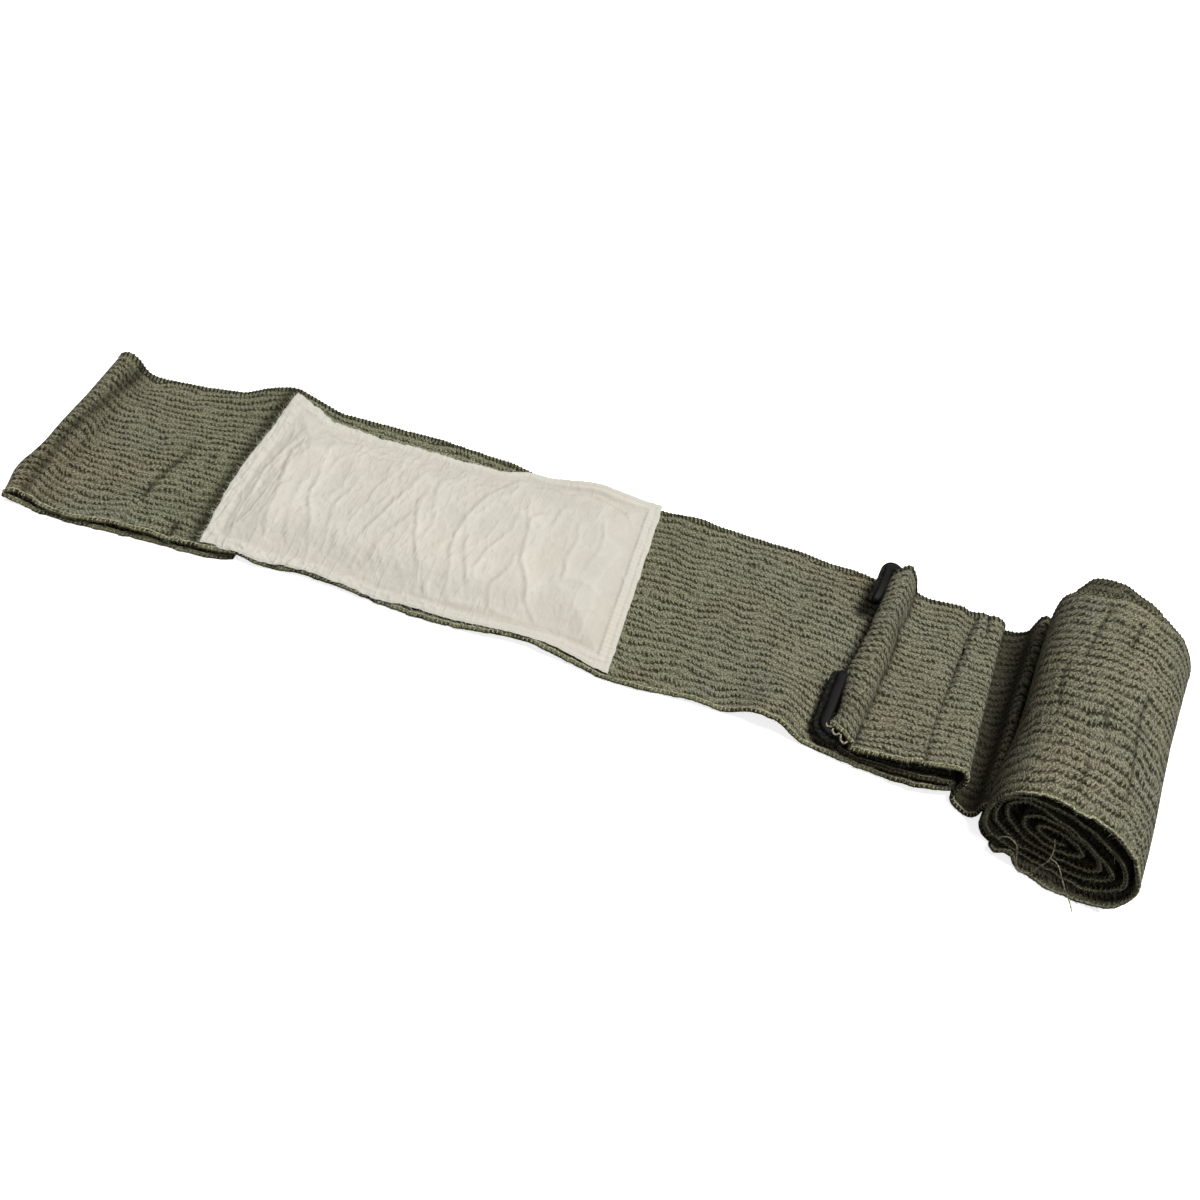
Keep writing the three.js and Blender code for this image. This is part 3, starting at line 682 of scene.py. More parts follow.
@dataclass(frozen=True)
class WrapFinish(Finish):
    """Olive-grey knitted elastic: pale ground threads, dark stitch rows, greener near its selvedges."""

    PLAIN = {"Roughness": 0.93, "Specular_IOR_Level": 0.05, "Sheen_Weight": 0.03, "Sheen_Roughness": 0.6}
    ground: tuple = (0.065, 0.060, 0.033, 1.0)
    ground_light: tuple = (0.316, 0.302, 0.214, 1.0)
    stitch: tuple = (0.012, 0.010, 0.003, 1.0)
    edge: tuple = (0.120, 0.124, 0.048, 1.0)
    brown: tuple = (0.97, 0.94, 0.89, 1.0)
    green: tuple = (0.93, 1.0, 0.93, 1.0)

    def dress(self, w: Wiring, groups: SharedGroups) -> None:
        """Knit on the cloth's own UV map: browner by the left fold, greener under the pad, painted shade in creases."""
        place = w.cloth_place()
        knit = w.group(groups.knit, {"Place": place, "Wander": 1.6, "Wear": 0.55})
        fleck = w.span(w.noise(place, 1250.0, 2.0, 0.75), 0.41, 0.59)
        ground = w.blend(fleck * 0.72 + knit["Thread"] * 0.28, self.ground, self.ground_light)
        ground = groups.drifted(w, place, ground, 42.0, 0.16)
        run = w.split(place)[0]
        ground = w.blend(w.span(run, 0.135, 0.105), ground, self.brown, "MULTIPLY")
        near_pad = w.span(run, 0.135, 0.175) * w.span(run, 0.420, 0.330)
        ground = w.blend(near_pad, ground, self.green, "MULTIPLY")
        ground = w.blend(w.span(w.attribute("inset"), 2.2, 0.6) * 0.6, ground, self.edge)
        colour = w.blend(knit["Dark"], ground, self.stitch)
        # painted shade: the crease attribute darkens towards the stitch colour in creases, valleys, under folds and
        # beside the pad
        colour = w.blend(w.attribute("crease") * 0.8, colour, self.stitch)
        w.shader(Base_Color=colour, Normal=w.bump(knit["Relief"], 0.75, 0.0006))


@dataclass(frozen=True)
class YarnFinish(Finish):
    """A plain yarn with a twist."""

    PLAIN = {"Roughness": 0.9, "Specular_IOR_Level": 0.15, "Sheen_Weight": 0.1}
    light: tuple
    dark: tuple

    def dress(self, w: Wiring, groups: SharedGroups) -> None:
        """Flecks of fine noise on object coordinates."""
        place = w.object_place()
        fleck = w.noise(place, 1500.0, 2.0, 0.6)
        colour = w.blend(w.span(fleck, 0.35, 0.65), self.dark, self.light)
        w.shader(Base_Color=groups.drifted(w, place, colour, 90.0, 0.2), Normal=w.bump(fleck, 0.5, 0.0003))


@dataclass(frozen=True)
class GauzeFinish(Finish):
    """Cream-white cotton of the pad: a fine open weave with faint warm and cool mottling."""

    PLAIN = {"Roughness": 0.88, "Specular_IOR_Level": 0.15, "Sheen_Weight": 0.15, "Sheen_Roughness": 0.5}
    colour: tuple = (0.490, 0.462, 0.392, 1.0)
    painted_highlight: tuple = (0.615, 0.590, 0.518, 1.0)
    shade: tuple = (0.36, 0.33, 0.26, 1.0)
    threads: float = 2400.0

    def dress(self, w: Wiring, groups: SharedGroups) -> None:
        """Weave, slubs and fine pulled wrinkles on the cover's UV map, with painted highlights and painted shade."""
        place = w.cloth_place()
        x, y = w.split(place)
        weft, warp = (w.math("SINE", side * (self.threads * math.pi)) for side in (x, y))
        slub = w.noise(w.value("Mapping", {"Vector": place, "Scale": (1.0, 0.35, 1.0)}), 900.0, 2.0, 0.6)
        turned = w.value("Mapping", {"Vector": place, "Rotation": (0.0, 0.0, 0.16), "Scale": (1.0, 0.28, 1.0)})
        pulled = abs(w.noise(turned, 150.0, 2.0, 0.55) - 0.5)
        wrinkle = (1.0 - pulled * 10.0).clamped() ** 2.0 * w.span(x, 0.05, -0.03, 0.55, 0.9)
        # painted highlight and shade: the lit attribute lightens crease ridges, the border and tufts, and darkens
        # troughs
        colour = w.blend(w.attribute("lit"), self.colour, self.painted_highlight)
        colour = groups.drifted(w, place, colour, 60.0, 0.05)
        # painted highlight along the pulled wrinkles
        colour = w.blend(wrinkle * 0.28, colour, self.painted_highlight)
        colour = w.blend(w.span(slub, 0.5, 0.8) * 0.12, colour, self.shade)
        # painted shade in the crease troughs, with darker sewn seams
        colour = w.blend(w.attribute("crease") * 0.6, colour, self.shade)
        weave = weft * warp * 0.5 + 0.5
        height = weave * 0.35 + slub * 0.9 + w.noise(place, 260.0, 4.0, 0.7) * 2.2 + wrinkle * 1.2
        w.shader(Base_Color=colour, Normal=w.bump(height, 0.6, 0.0004))


@dataclass(frozen=True)
class PlasticFinish(Finish):
    """Black satin moulded plastic with fine grain, paler where it is rubbed, coarse and linty on its flange."""

    PLAIN = {"Roughness": 0.5, "Specular_IOR_Level": 0.09}
    colour: tuple = (0.005, 0.005, 0.005, 1.0)
    rubbed: tuple = (0.011, 0.011, 0.010, 1.0)
    lint: tuple = (0.026, 0.025, 0.016, 1.0)

    def dress(self, w: Wiring, groups: SharedGroups) -> None:
        """Grain, wear and lint on object coordinates and the ring's own rub and grip numbers."""
        place = w.object_place()
        rub, grip = w.attribute("rub"), w.attribute("grip")
        grain = w.noise(place, 2600.0, 3.0, 0.6)
        coarse = w.noise(place, 900.0, 2.0, 0.7)
        patch = w.noise(place, 160.0, 3.0, 0.6)
        colour = w.blend(rub * w.span(patch, 0.35, 0.65, 0.35, 1.0), self.colour, self.rubbed)
        colour = w.blend(grip * w.span(coarse, 0.5, 0.62), colour, self.lint)
        rough = w.span(patch, 0.3, 0.7, 0.42, 0.56) + grain * 0.08
        w.shader(
            Base_Color=groups.drifted(w, place, colour, 120.0, 0.1),
            Roughness=w.math("MAXIMUM", rough, grip * 0.8),
            Normal=w.bump(grain * 0.4 + grip * (coarse * 2.5), 0.4, 0.0003),
        )


@dataclass(frozen=True)
class FloorFinish(Finish):
    """A white floor that shows almost no shadow and throws little light back under the cloth."""

    PLAIN = {"Roughness": 0.9, "Specular_IOR_Level": 0.1, "Emission_Strength": 1.0}
    colour: tuple = (0.94, 0.94, 0.94, 1.0)
    thrown_back: tuple = (0.16, 0.16, 0.16, 1.0)
    glow: tuple = (0.80, 0.80, 0.80, 1.0)

    def dress(self, w: Wiring, groups: SharedGroups) -> None:
        """Darker for light that bounces, and glowing only where it is seen."""
        bounced, seen = (w.value("LightPath", output=name) for name in ("Is Diffuse Ray", "Is Camera Ray"))
        w.shader(
            Base_Color=w.blend(bounced, self.colour, self.thrown_back), Emission_Color=w.blend(seen, BLACK, self.glow)
        )


# --- The wrap's loose end


@dataclass
class WrapStrip:
    """The wrap's loose end: one folded strip from its tucked end under the pad to the roll."""

    line: BandageLine
    swells: Swells
    rows: int = 640
    columns: int = 68
    clip_along: float = 189.8
    sleeve_near: float = 41.5
    sleeve_far: float = 57.0
    drawn_in: float = 6.5
    knit_width: float = 97.0
    fold_row: int = 7
    bend_weight: float = 2.2
    lift_reach: float = 50.0
    noise: SmoothNoise = field(default_factory=lambda: SmoothNoise(11))

    # across: how far the sleeve follows the clip, how far it bulges to the left, and where its sewn crease lies
    SLEEVE = [
        (-48, 2.1, 4.2, -3.2), (-38, 2.0, 4.4, -3.4), (-34, 1.9, 3.0, -3.3), (-30, 1.8, 1.4, -3.2),
        (-27, 1.8, 1.4, -2.9), (-15, 1.6, 2.6, -2.2), (-8, 1.5, 3.9, -1.9), (6, 1.3, 2.7, -1.2), (18, 1.1, 1.5, -1.5),
        (26, 1.0, 1.4, -2.1), (34, 0.9, 1.0, -1.0), (45, 0.8, 1.0, -0.7), (58, 0.6, 1.4, -0.6),
    ]

    # rows before and after the sleeve: along, height, near, far, share of the swells (1 if left out), lift (0)
    BEFORE = [
        (-73, LYING, 48.8, 48, 0, 0), (-84, LYING, 51.4, 47, 0, 0), (-117, LYING, 51.9, 43, 0, 0),
        (-140, LYING, 52.8, 40, 0, 0), (-156, LYING, 52.4, 38.5, 0, 0), (-163, 0.9, 51, 39, 0, 0),
        (-168.6, 2.4, 51, 39, 0, 0), (-170.4, 5.6, 51, 39.5, 0.4, 0), (-168.9, 8.9, 50.2, 40, 0.8, 0),
        (-165.2, 10.2, 49, 40), (-161.4, 9, 49.4, 39.5), (-158.9, 5.9, 50, 38.8, 0.9, 0),
        (-157.0, 3.7, 50.8, 38.5, 0.8, 0), (-152.5, 3.1, 51.8, 38.6, 0.9, 0), (-145, 3.1, 52.2, 38.8),
        (-129, 3.1, 51.2, 40.2), (-114, 3.1, 50.4, 43.2), (-100, 3.1, 50.6, 47.5), (-90, 3.1, 50.4, 49.6),
        (-78, 3.1, 49.6, 48.2), (-70, 3, 48.6, 47), (-58, 1.2, 48, 49.8), (-43, LYING, 45.9, 50.8),
        (-29, LYING, 47, 51.6), (-14, LYING, 48.2, 51.9), (2, LYING, 48.6, 51.4), (14, LYING, 48.9, 51),
        (27, LYING, 47.9, 48.4), (42, LYING, 46.5, 48.6), (52, LYING, 45.3, 49.4), (64, LYING, 47.2, 50.2),
        (76, LYING, 48.8, 49.8), (88, LYING, 50.2, 49.8), (98, LYING, 50.4, 50), (112, LYING, 48.2, 50.4),
        (136, LYING, 47.4, 50.8), (158, LYING, 45.6, 53.2), (168, LYING, 44.6, 55.2), (180, LYING, 44.8, 56.2),
        (208, LYING, 43, 52.5), (221, 0.8, 41.5, 49), (229, 1.0, 39, 48), (234, 2.5, 36.2, 47.5),
        (233.3, 4.7, 36, 47.2), (227, 5.4, 38, 47.5, 0.6, 0), (219, 5.2, 39.5, 47.5, 0.4, 0),
        (211, 4.3, 39.8, 48, 0, 0), (199, 3.2, sleeve_near, 51, 0, 0.4),
    ]
    AFTER = [
        (194.2, 11.9, sleeve_near, 54, 0, 2.0), (197.2, 9.4, 42.5, 50.6, 0, 1.0), (203, 9.9, 42, 49.4, 0, 0),
        (210.5, 11.6, 40.5, 49.8, 0.5, 0), (218, 12.6, 39, 50.2), (222.8, 11.4, 38, 50.8), (228.2, 13, 36.5, 51.8),
        (234.6, 13.5, 35, 52.3), (237, 11.4, 35.4, 52.6, 0.3, 0), (236.2, 6.6, 37, 54, 0, 0),
        (235.9, 2.3, 39, 57, 0, 0), (240, 1.2, 40.6, 60, 0, 0), (244.4, 1.4, 41.6, 62, 0, 0),
        (247.2, 4, 42, 63.6, 0, 0), (247.8, 8.4, 42, 65.4, 0.3, 0), (248.2, 11.6, 42.2, 66.2, 0.6, 0),
        (249.3, 13.2, 42.4, 66.0, 0.6, 0), (250.5, 11.4, 42.6, 65.6, 0.3, 0), (250.9, 7, 43, 65.4, 0, 0),
        (252, 3, 44, 65, 0, 0), (254.9, 1.1, 45, 62.5, 0, 0), (ROLL_START - 0.3, LYING, 47, 58, 0, 0),
    ]

    # pressed lines on the cloth left of the pad: across and along
    PRESSED = [
        [(-30.9, -120.9), (-20.9, -120.6), (-11.6, -118.6), (3.2, -116.8)], [(-48.5, -101.2), (-39.4, -101.6)],
    ]

    def section(self) -> np.ndarray:
        """The strip's section, row by row: BEFORE, the sleeve and AFTER.

        The sleeve's rows are half a circle round the clip's bar: along - r*sin t, height - r*cos t.

        Returns:
            The rows, from the tucked end to the roll.
        """
        lift = self.lift_reach * math.tan(math.radians(CLIP_RISE))
        sleeve = [
            (
                self.clip_along - SLEEVE_RADIUS * math.sin(t), CLIP_HEIGHT - SLEEVE_RADIUS * math.cos(t),
                self.sleeve_near - self.drawn_in * math.sin(t), self.sleeve_far - self.drawn_in * math.sin(t), 0, lift,
            )
            for t in math.pi * np.arange(9) / 8
        ]
        return np.array([(*row, 1, 0)[:6] for row in [*self.BEFORE, *sleeve, *self.AFTER]], float)

    def stations(self) -> dict[str, np.ndarray]:
        """The section cut into rows that are closer together where it turns.

        The section's curve is sampled finely, and rows are taken at equal steps of length + bend_weight*radians
        turned. The edges, the share of the swells and the lift are blurred along the rows.

        Returns:
            Arrays for the rows by name: along, height, near, far, loose, lift, number in the table, and run.
        """
        table = self.section()
        fine = 40
        curve = centripetal(table[:, :2], fine)
        number = np.arange(len(curve)) / fine
        step = np.diff(curve, axis=0)
        length = np.hypot(step[:, 0], step[:, 1])
        direction = np.unwrap(np.arctan2(step[:, 1], step[:, 0]))
        turned = np.abs(np.diff(direction, prepend=direction[:1]))
        measure = np.concatenate([[0.0], np.cumsum(length + self.bend_weight * turned)])
        run = np.concatenate([[0.0], np.cumsum(length)])
        pick = np.interp(np.linspace(0, measure[-1], self.rows), measure, number)
        along, height, walk = (np.interp(pick, number, values) for values in (*curve.T, run))
        found = {"along": along, "height": np.maximum(height, LYING), "number": pick, "run": walk}
        blur = np.array([1, 3, 5, 6, 5, 3, 1]) / 24
        for column, key in enumerate(("near", "far", "loose", "lift"), 2):
            rough = np.interp(pick, np.arange(len(table)), table[:, column])
            found[key] = np.convolve(np.pad(rough, 3, mode="edge"), blur, mode="valid")
        return found

    def grid(self) -> ClothGrid:
        """The strip's middle surface: height = level + loose*(swells + ripple) + lift*(across - clip)/lift_reach.

        Folds, seams and pressed lines are grooves in it: height - depth*exp(-(distance/reach)^2), each within its own
        window of rows or places, and most with a soft ridge beside it. Shade is painted into the grooves and the
        valley, under the flap, beside the pad and on the sleeve.

        Returns:
            The grid with its places on the cloth and the shade painted on it.
        """
        s = self.stations()
        rough, first = self.noise, len(self.BEFORE)
        run, number = s["run"], s["number"][:, None]

        # both edges wander a little, and the rows between them bunch towards the middle
        near = s["near"] - YARN_ROOM + 0.45 * rough.layered(run / 7.0, 3.5) + 0.25 * rough.at(run / 1.9, 40.5)
        far = s["far"] - YARN_ROOM + 0.35 * rough.layered(run / 9.0, 8.5) + 0.15 * rough.at(run / 1.7, 52.5)
        share = np.linspace(0, 1, self.columns)
        share = share - 0.035 * np.sin(2 * math.pi * share)
        across = -near[:, None] + (near + far)[:, None] * share[None, :]

        # the left fold's nip, the valley's turned near end, and the sleeve round the clip
        along = s["along"][:, None] - 3.6 * bell(across + 35, 11) * bell(number - self.fold_row, 1.7)
        turned = window(number, first + 19, first + 21, first + 28, first + 30)
        along = along + turned * np.clip(0.05 * (8 - across), 0, 0.5)
        follow, bulge, crease = (eased_table(across, self.SLEEVE, k) for k in (1, 2, 3))
        tunnel = window(number, first - 1.5, first, first + 8.6, first + 10.6)
        along = along + tunnel * follow - bulge * np.sin(math.pi * np.clip((number - first) / 8, 0, 1))
        along = along + crease * bell(number - (first + 9.9), 1.5)

        # the left fold lies flatter at its near end; the free cloth swells and ripples
        level = s["height"][:, None]
        pinched = window(number, self.fold_row - 2, self.fold_row, 13, 15)
        level = level - 0.62 * (1 - ease(across, -46, -8)) * pinched * np.maximum(level - 2.6, 0)
        ripple = 0.42 * rough.layered(along / 17 + 0.2 * across / 17, across / 34, 2)
        ripple += 0.16 * rough.layered(along / 6 + 20, across / 11, 2)
        ripple += bell(across + near[:, None], 6) * (0.5 + 0.5 * rough.at(along / 11, 70.5)) * 0.9
        ripple = ripple * (1 - ease(88 - np.abs(along), 0, 8) * ease(44 - np.abs(across), 0, 3))
        bulk = level + s["loose"][:, None] * (self.swells.height(along, across) + ripple)
        bulk = bulk + s["lift"][:, None] * ((across - CLIP_ACROSS) / self.lift_reach)

        # the crease down the flap, with a short one beside it at the far edge; painted shade lies in the grooves
        flap = window(number, first + 10.5, first + 11.5, first + 16.5, first + 17.5)
        fold = np.interp(across, [-37, -19, 2.5, 17.7, 32.6, 46], [219.9, 219.8, 222.0, 222.6, 224.4, 226.2])
        fold = fold + 0.4 * rough.at(across / 8, 3.3)
        sharp = np.interp(across, [-60, -42, -30, -12, 8, 34, 47, 50], [1, 1, 0.8, 0.7, 0.9, 1, 0.9, 0])
        short = 231 - 0.05 * (across - 50) + 0.3 * rough.at(across / 6, 6.3)
        groove = flap * (sharp * bell(along - fold, 0.9) + ease(across, 38, 42) * bell(along - short, 0.9))
        bulk = bulk - 1.4 * groove + 0.7 * flap * sharp * bell(along - fold - 2.6, 1.8)
        shade = np.zeros_like(along) + groove

        # the sleeve's puckered seam, sunk a little and with a painted shade line along it
        seam_run = np.interp(first + 10.12, s["number"], run)
        seam = bell(run[:, None] - seam_run - 0.5 * rough.at(across / 5, 12.3), 1.25)
        pucker = 0.35 * np.sin(across * 2 * math.pi / 3.1 + 1.5 * rough.at(across / 7, 21.3))
        bulk = bulk - 0.25 * seam + pucker * bell(run[:, None] - seam_run, 3.5)
        shade += 1.3 * seam * (0.7 + 0.3 * rough.at(across / 4, 15.3))

        # painted shade and shadow: beside the pad, where the sleeve starts, in the valley, on the sleeve's lit flank,
        # under the flap
        painted_shadow_beside_pad = bell(along + 90.0 + 4.5 * np.cos(across / 32), 3.1)
        shade += painted_shadow_beside_pad * window(number, 14, 15, 22, 23) + 0.8 * bell(number - (first + 1.2), 1.3)
        shade += 0.9 * window(number, first + 16.5, first + 17.1, first + 22.2, first + 24.6)
        shade += 0.55 * ease(number, first + 18, first + 19) * (1 - ease(across, -39, -29))
        shade += 0.14 * window(number, first, first + 1, first + 9, first + 9.6)
        shade += 0.5 * window(number, first - 9.4, first - 8.6, first - 1, first)

        # the hollow at the left fold's foot, sunk and with painted shade in it
        shade += 0.3 * bell(number - 12.0, 0.9) * (0.6 + 0.4 * rough.at(across / 9, 33.3))
        foot = np.interp(across, [-34, -12, 10, 30, 45], [9.2, 9.4, 10.0, 10.65, 10.9])
        hollow = bell(number - (foot + 0.12 * rough.at(across / 8, 35.3)), 0.62)
        bulk = bulk - 1.2 * hollow
        shade += hollow * (0.8 + 0.2 * rough.at(across / 4, 37.3))

        # the pressed lines left of the pad, sunk and with painted shade in them
        for places in self.PRESSED:
            (first_across, _), (last_across, _) = places[0], places[-1]
            crease_at = np.interp(across, *zip(*places)) + 0.5 * rough.at(across / 5, 43.3)
            line = bell(along - crease_at, 1.35) * window(number, 12.5, 13.5, 19, 20)
            line = line * (1 - ease(across, last_across - 3, last_across + 3))
            line = line * ease(across, first_across - 4, first_across)
            bulk = bulk - 0.4 * line + 0.25 * bell(along - crease_at - 2.8, 2.0) * line.max(axis=0)
            shade += 1.45 * line * (0.6 + 0.4 * rough.at(across / 3, 53.3))
        middle = self.line.spot(along, across, np.maximum(bulk, LYING))
        weft = np.broadcast_to((share - 0.5) * self.knit_width, across.shape)
        return ClothGrid(middle, run, across, np.clip(shade, 0, 1), weft)


# --- The wound part


@dataclass
class WrapRoll:
    """The wound part: leaning ellipses that shrink and drift with each turn, their edges slid past each other."""

    line: BandageLine
    along: float = 275.2
    height: float = 24.2
    half_length: float = 29.2
    half_height: float = 23.4
    lean: float = -21.0
    turns: float = 5.45
    pitch_length: float = 4.0
    pitch_height: float = 3.75
    drift: float = -1.5
    rows: int = 640
    columns: int = 66
    knit_width: float = 88.0
    first_turn: float = 0.06
    samples: int = 220
    round_a_turn: float = 155.0
    bend_weight: float = 5.0
    noise: SmoothNoise = field(default_factory=lambda: SmoothNoise(23))

    # turn, near, far
    EDGES = [
        (0, 51, 57.5), (0.06, 51.4, 57.5), (0.12, 50.2, 57.5), (0.2, 48, 58), (0.28, 45.3, 59), (0.4, 45.6, 61.5),
        (0.5, 46.2, 62.3), (0.6, 46.4, 62.8), (0.7, 46.6, 62.5), (0.77, 46.8, 56), (0.92, 47, 55), (1.0, 46, 56),
        (1.2, 46, 58), (1.38, 45, 62), (1.44, 45, 71.5), (1.5, 45, 73), (1.56, 45, 76), (1.64, 45.2, 77.4),
        (1.69, 45.2, 73), (1.72, 45.2, 62), (1.8, 45, 57), (2.3, 44, 60), (3, 43, 59), (4, 42, 58), (5.45, 41, 56),
    ]
    # the near end's spiral as it is seen: along, height
    NEAR_END = [
        (259.4, 0.75), (268, 0.75), (280, 0.75), (292, 0.9), (300, 2.6), (305.5, 7.5), (307, 13.5), (305.3, 20.5),
        (300.5, 28.5), (293, 35.5), (283, 40.5), (272, 41.2), (262, 39.8), (254.5, 36), (250, 29), (248.6, 21),
        (250, 13.5), (252.6, 8.8), (256.6, 5.9), (262, 4.2), (270, 3), (282, 2.9), (291, 3.6), (297.5, 6.3),
        (301.5, 11), (302.5, 15), (300.5, 20.5), (296, 25.5), (289, 30), (280, 33.2), (270.5, 34.6), (261, 33.2),
        (254, 29.5), (251.2, 23.5), (252.2, 15.5), (255.6, 11.1), (259.9, 9.3), (263.5, 7.8), (269.4, 5.5),
        (275, 5.2), (285, 5.2), (293, 7.5), (297.5, 12), (298.6, 15), (295, 19.5), (288.4, 23), (282.5, 25.5),
        (275.7, 27.2), (269.5, 28.3), (262.5, 28.2), (257, 25), (255.4, 20), (257.8, 15.5), (261.5, 12), (266, 8.9),
        (272, 7.6), (281, 7.7), (289, 9.3), (294, 13), (292, 17.5), (285, 21.5), (277, 23.6), (268.5, 23.2),
        (263.5, 19.5), (264.5, 14.5), (269, 11), (276, 10), (284, 11.5), (287, 14.5), (283.5, 18), (277, 19.6),
        (271, 18.3), (269, 15.3), (272, 13.2), (278, 13.2), (281, 15),
    ]
    # what that spiral winds round, along and height: at its outer and at its inner end
    CORE = np.array([[278.0, 20.5], [276.0, 15.6]])
    # pressed lines on the outer turn: turn, and the two places across between which each runs
    PRESSED = [(0.588, 22, 55), (0.505, 34, 51), (0.585, -37, -25), (0.535, -10, 2), (0.46, -30, 18), (0.64, -5, 20)]

    def path(self) -> tuple[np.ndarray, np.ndarray]:
        """The spiral in the plane of along and height.

        A turn's angle is 2 pi (turn - 1/4) - lean, and the point is the drifting middle plus the shrinking ellipse's
        point at that angle, turned by the lean and kept off the surface.

        Returns:
            The turns and the points of the path.
        """
        turn = np.linspace(self.first_turn, self.turns, self.samples)
        lean = math.radians(self.lean)
        angle = 2 * math.pi * (turn - 0.25) - lean
        e = (self.half_length - self.pitch_length * turn) * np.cos(angle)
        f = (self.half_height - self.pitch_height * turn) * np.sin(angle)
        x = self.along + self.drift * turn + e * math.cos(lean) - f * math.sin(lean)
        z = self.height + self.drift * turn + e * math.sin(lean) + f * math.cos(lean)
        points = np.vstack([[ROLL_START, LYING], np.stack([x, np.maximum(z, LYING)], 1)])
        return np.concatenate([[0.0], turn]), points

    def grid(self, run_start: float) -> ClothGrid:
        """The wound cloth's middle surface: the spiral's point + dent*outwards, with pressed lines in its outer turn.

        Args:
            run_start: the distance on the cloth where the wound part begins.

        Returns:
            The grid with its places on the cloth.
        """
        turn, points = self.path()
        fine = 10
        curve = centripetal(points, fine)
        turns = np.interp(np.arange(len(curve)) / fine, np.arange(len(turn)), turn)
        length = walked(curve)

        # rows are taken at equal steps of length, halved past the first turn, + bend_weight*turns
        dense = np.where(turns[1:] < 1.0, 1.0, 0.5)
        weight = np.concatenate([[0.0], np.cumsum(np.diff(length) * dense + self.bend_weight * np.diff(turns))])
        wanted = np.linspace(0, weight[-1], self.rows)
        run, turns = (np.interp(wanted, weight, values) for values in (length, turns))
        base = sampled(wanted, weight, curve)
        rough = self.noise

        # both edges step and wander as the turns slide past each other
        near, far = (eased_table(turns, self.EDGES, k) - YARN_ROOM for k in (1, 2))
        share = np.linspace(0, 1, self.columns)
        steps = 0.9 * np.round(1.3 * rough.at(run / 6.0, 31.5)) * window(turns, 0.26, 0.4, 0.8, 1.0)
        near = near + 0.5 * rough.layered(run / 8.0, 2.5) + 0.3 * rough.at(run / 2.0, 9.5) + steps
        far = far + 0.5 * rough.layered(run / 9.0, 5.5) + 0.2 * rough.at(run / 2.0, 14.5)
        across = -near[:, None] + (near + far)[:, None] * share[None, :]

        # the near end's own spiral fades into the leaning ellipses, and the free turns are dented
        seen = 1 - ease(across, -32, 14)
        flat = base[:, None, :] + seen[..., None] * (self.near_end(base, turns) - base)[:, None, :]
        ahead = unit(np.gradient(base, axis=0))
        outward = np.stack([ahead[:, 1], -ahead[:, 0]], 1)
        free = (ease(turns, 0.12, 0.3) * (0.35 + 0.25 * ease(turns, 0.8, 1.4)))[:, None]
        dent = free * rough.layered(turns[:, None] * 5.0 + 3, across / 30, 2)
        dent = dent + free * 0.35 * rough.layered(turns[:, None] * 17.0, across / 10 + 30, 2)
        # painted shade on the inner turns, seen at the ends, and in the pressed lines of the outer turn
        shade = np.zeros_like(across) + 0.62 * ease(turns, 0.9, 1.05)[:, None]
        for turn_at, low, high in self.PRESSED:
            off = (turns[:, None] - turn_at + 0.0007 * (across - 0.5 * (low + high))) * self.round_a_turn
            line = bell(off, 0.9) * window(across, low - 3, low + 3, high - 3, high + 3)
            dent = dent - 0.45 * line + 0.25 * bell(off - 2.2, 1.6) * line.max(axis=0)
            shade = shade + 0.8 * line
        along = flat[..., 0] + dent * outward[:, :1]
        height = flat[..., 1] + dent * outward[:, 1:]

        # the cloth under the roll is crumpled at its near edge
        lying = 1 - ease(turns, 0.1, 0.2)[:, None]
        crumple = 6 * bell(along - 266, 3.2) + 3 * bell(along - 259, 2.2)
        height = height + lying * crumple * ease(-across, 46.4, 50.4)
        middle = self.line.spot(along, across, np.maximum(height, LYING))
        weft = np.broadcast_to((share - 0.5) * self.knit_width, across.shape)
        return ClothGrid(middle, run_start + run, across, np.clip(shade, 0, 1), weft)

    @staticmethod
    def swept(points: np.ndarray, core: np.ndarray) -> np.ndarray:
        """The angle of each point round its core, counted on through the turns."""
        return np.unwrap(np.arctan2(points[:, 1] - core[:, 1], points[:, 0] - core[:, 0]))

    def near_end(self, base: np.ndarray, turns: np.ndarray) -> np.ndarray:
        """The near end's spiral at the rows: its points are matched to the rows by the angle each has swept.

        Args:
            base: the rows' points on the leaning ellipses.
            turns: the rows' turns.

        Returns:
            The rows' points on the near end's spiral.
        """
        curve = centripetal(np.array(self.NEAR_END), 8)
        share = np.linspace(0, 1, len(curve))[:, None] ** 0.7
        core = self.CORE[:1] * (1 - share) + self.CORE[1:] * share
        own = np.maximum.accumulate(self.swept(curve, core))
        middle = np.stack([self.along + self.drift * turns, self.height + self.drift * turns], 1)
        rows = self.swept(base, middle)
        rows = own[0] + (rows - rows[0]) * (own[-1] - own[0]) / (rows[-1] - rows[0])
        return sampled(rows, own, curve)


# --- The dressing pad


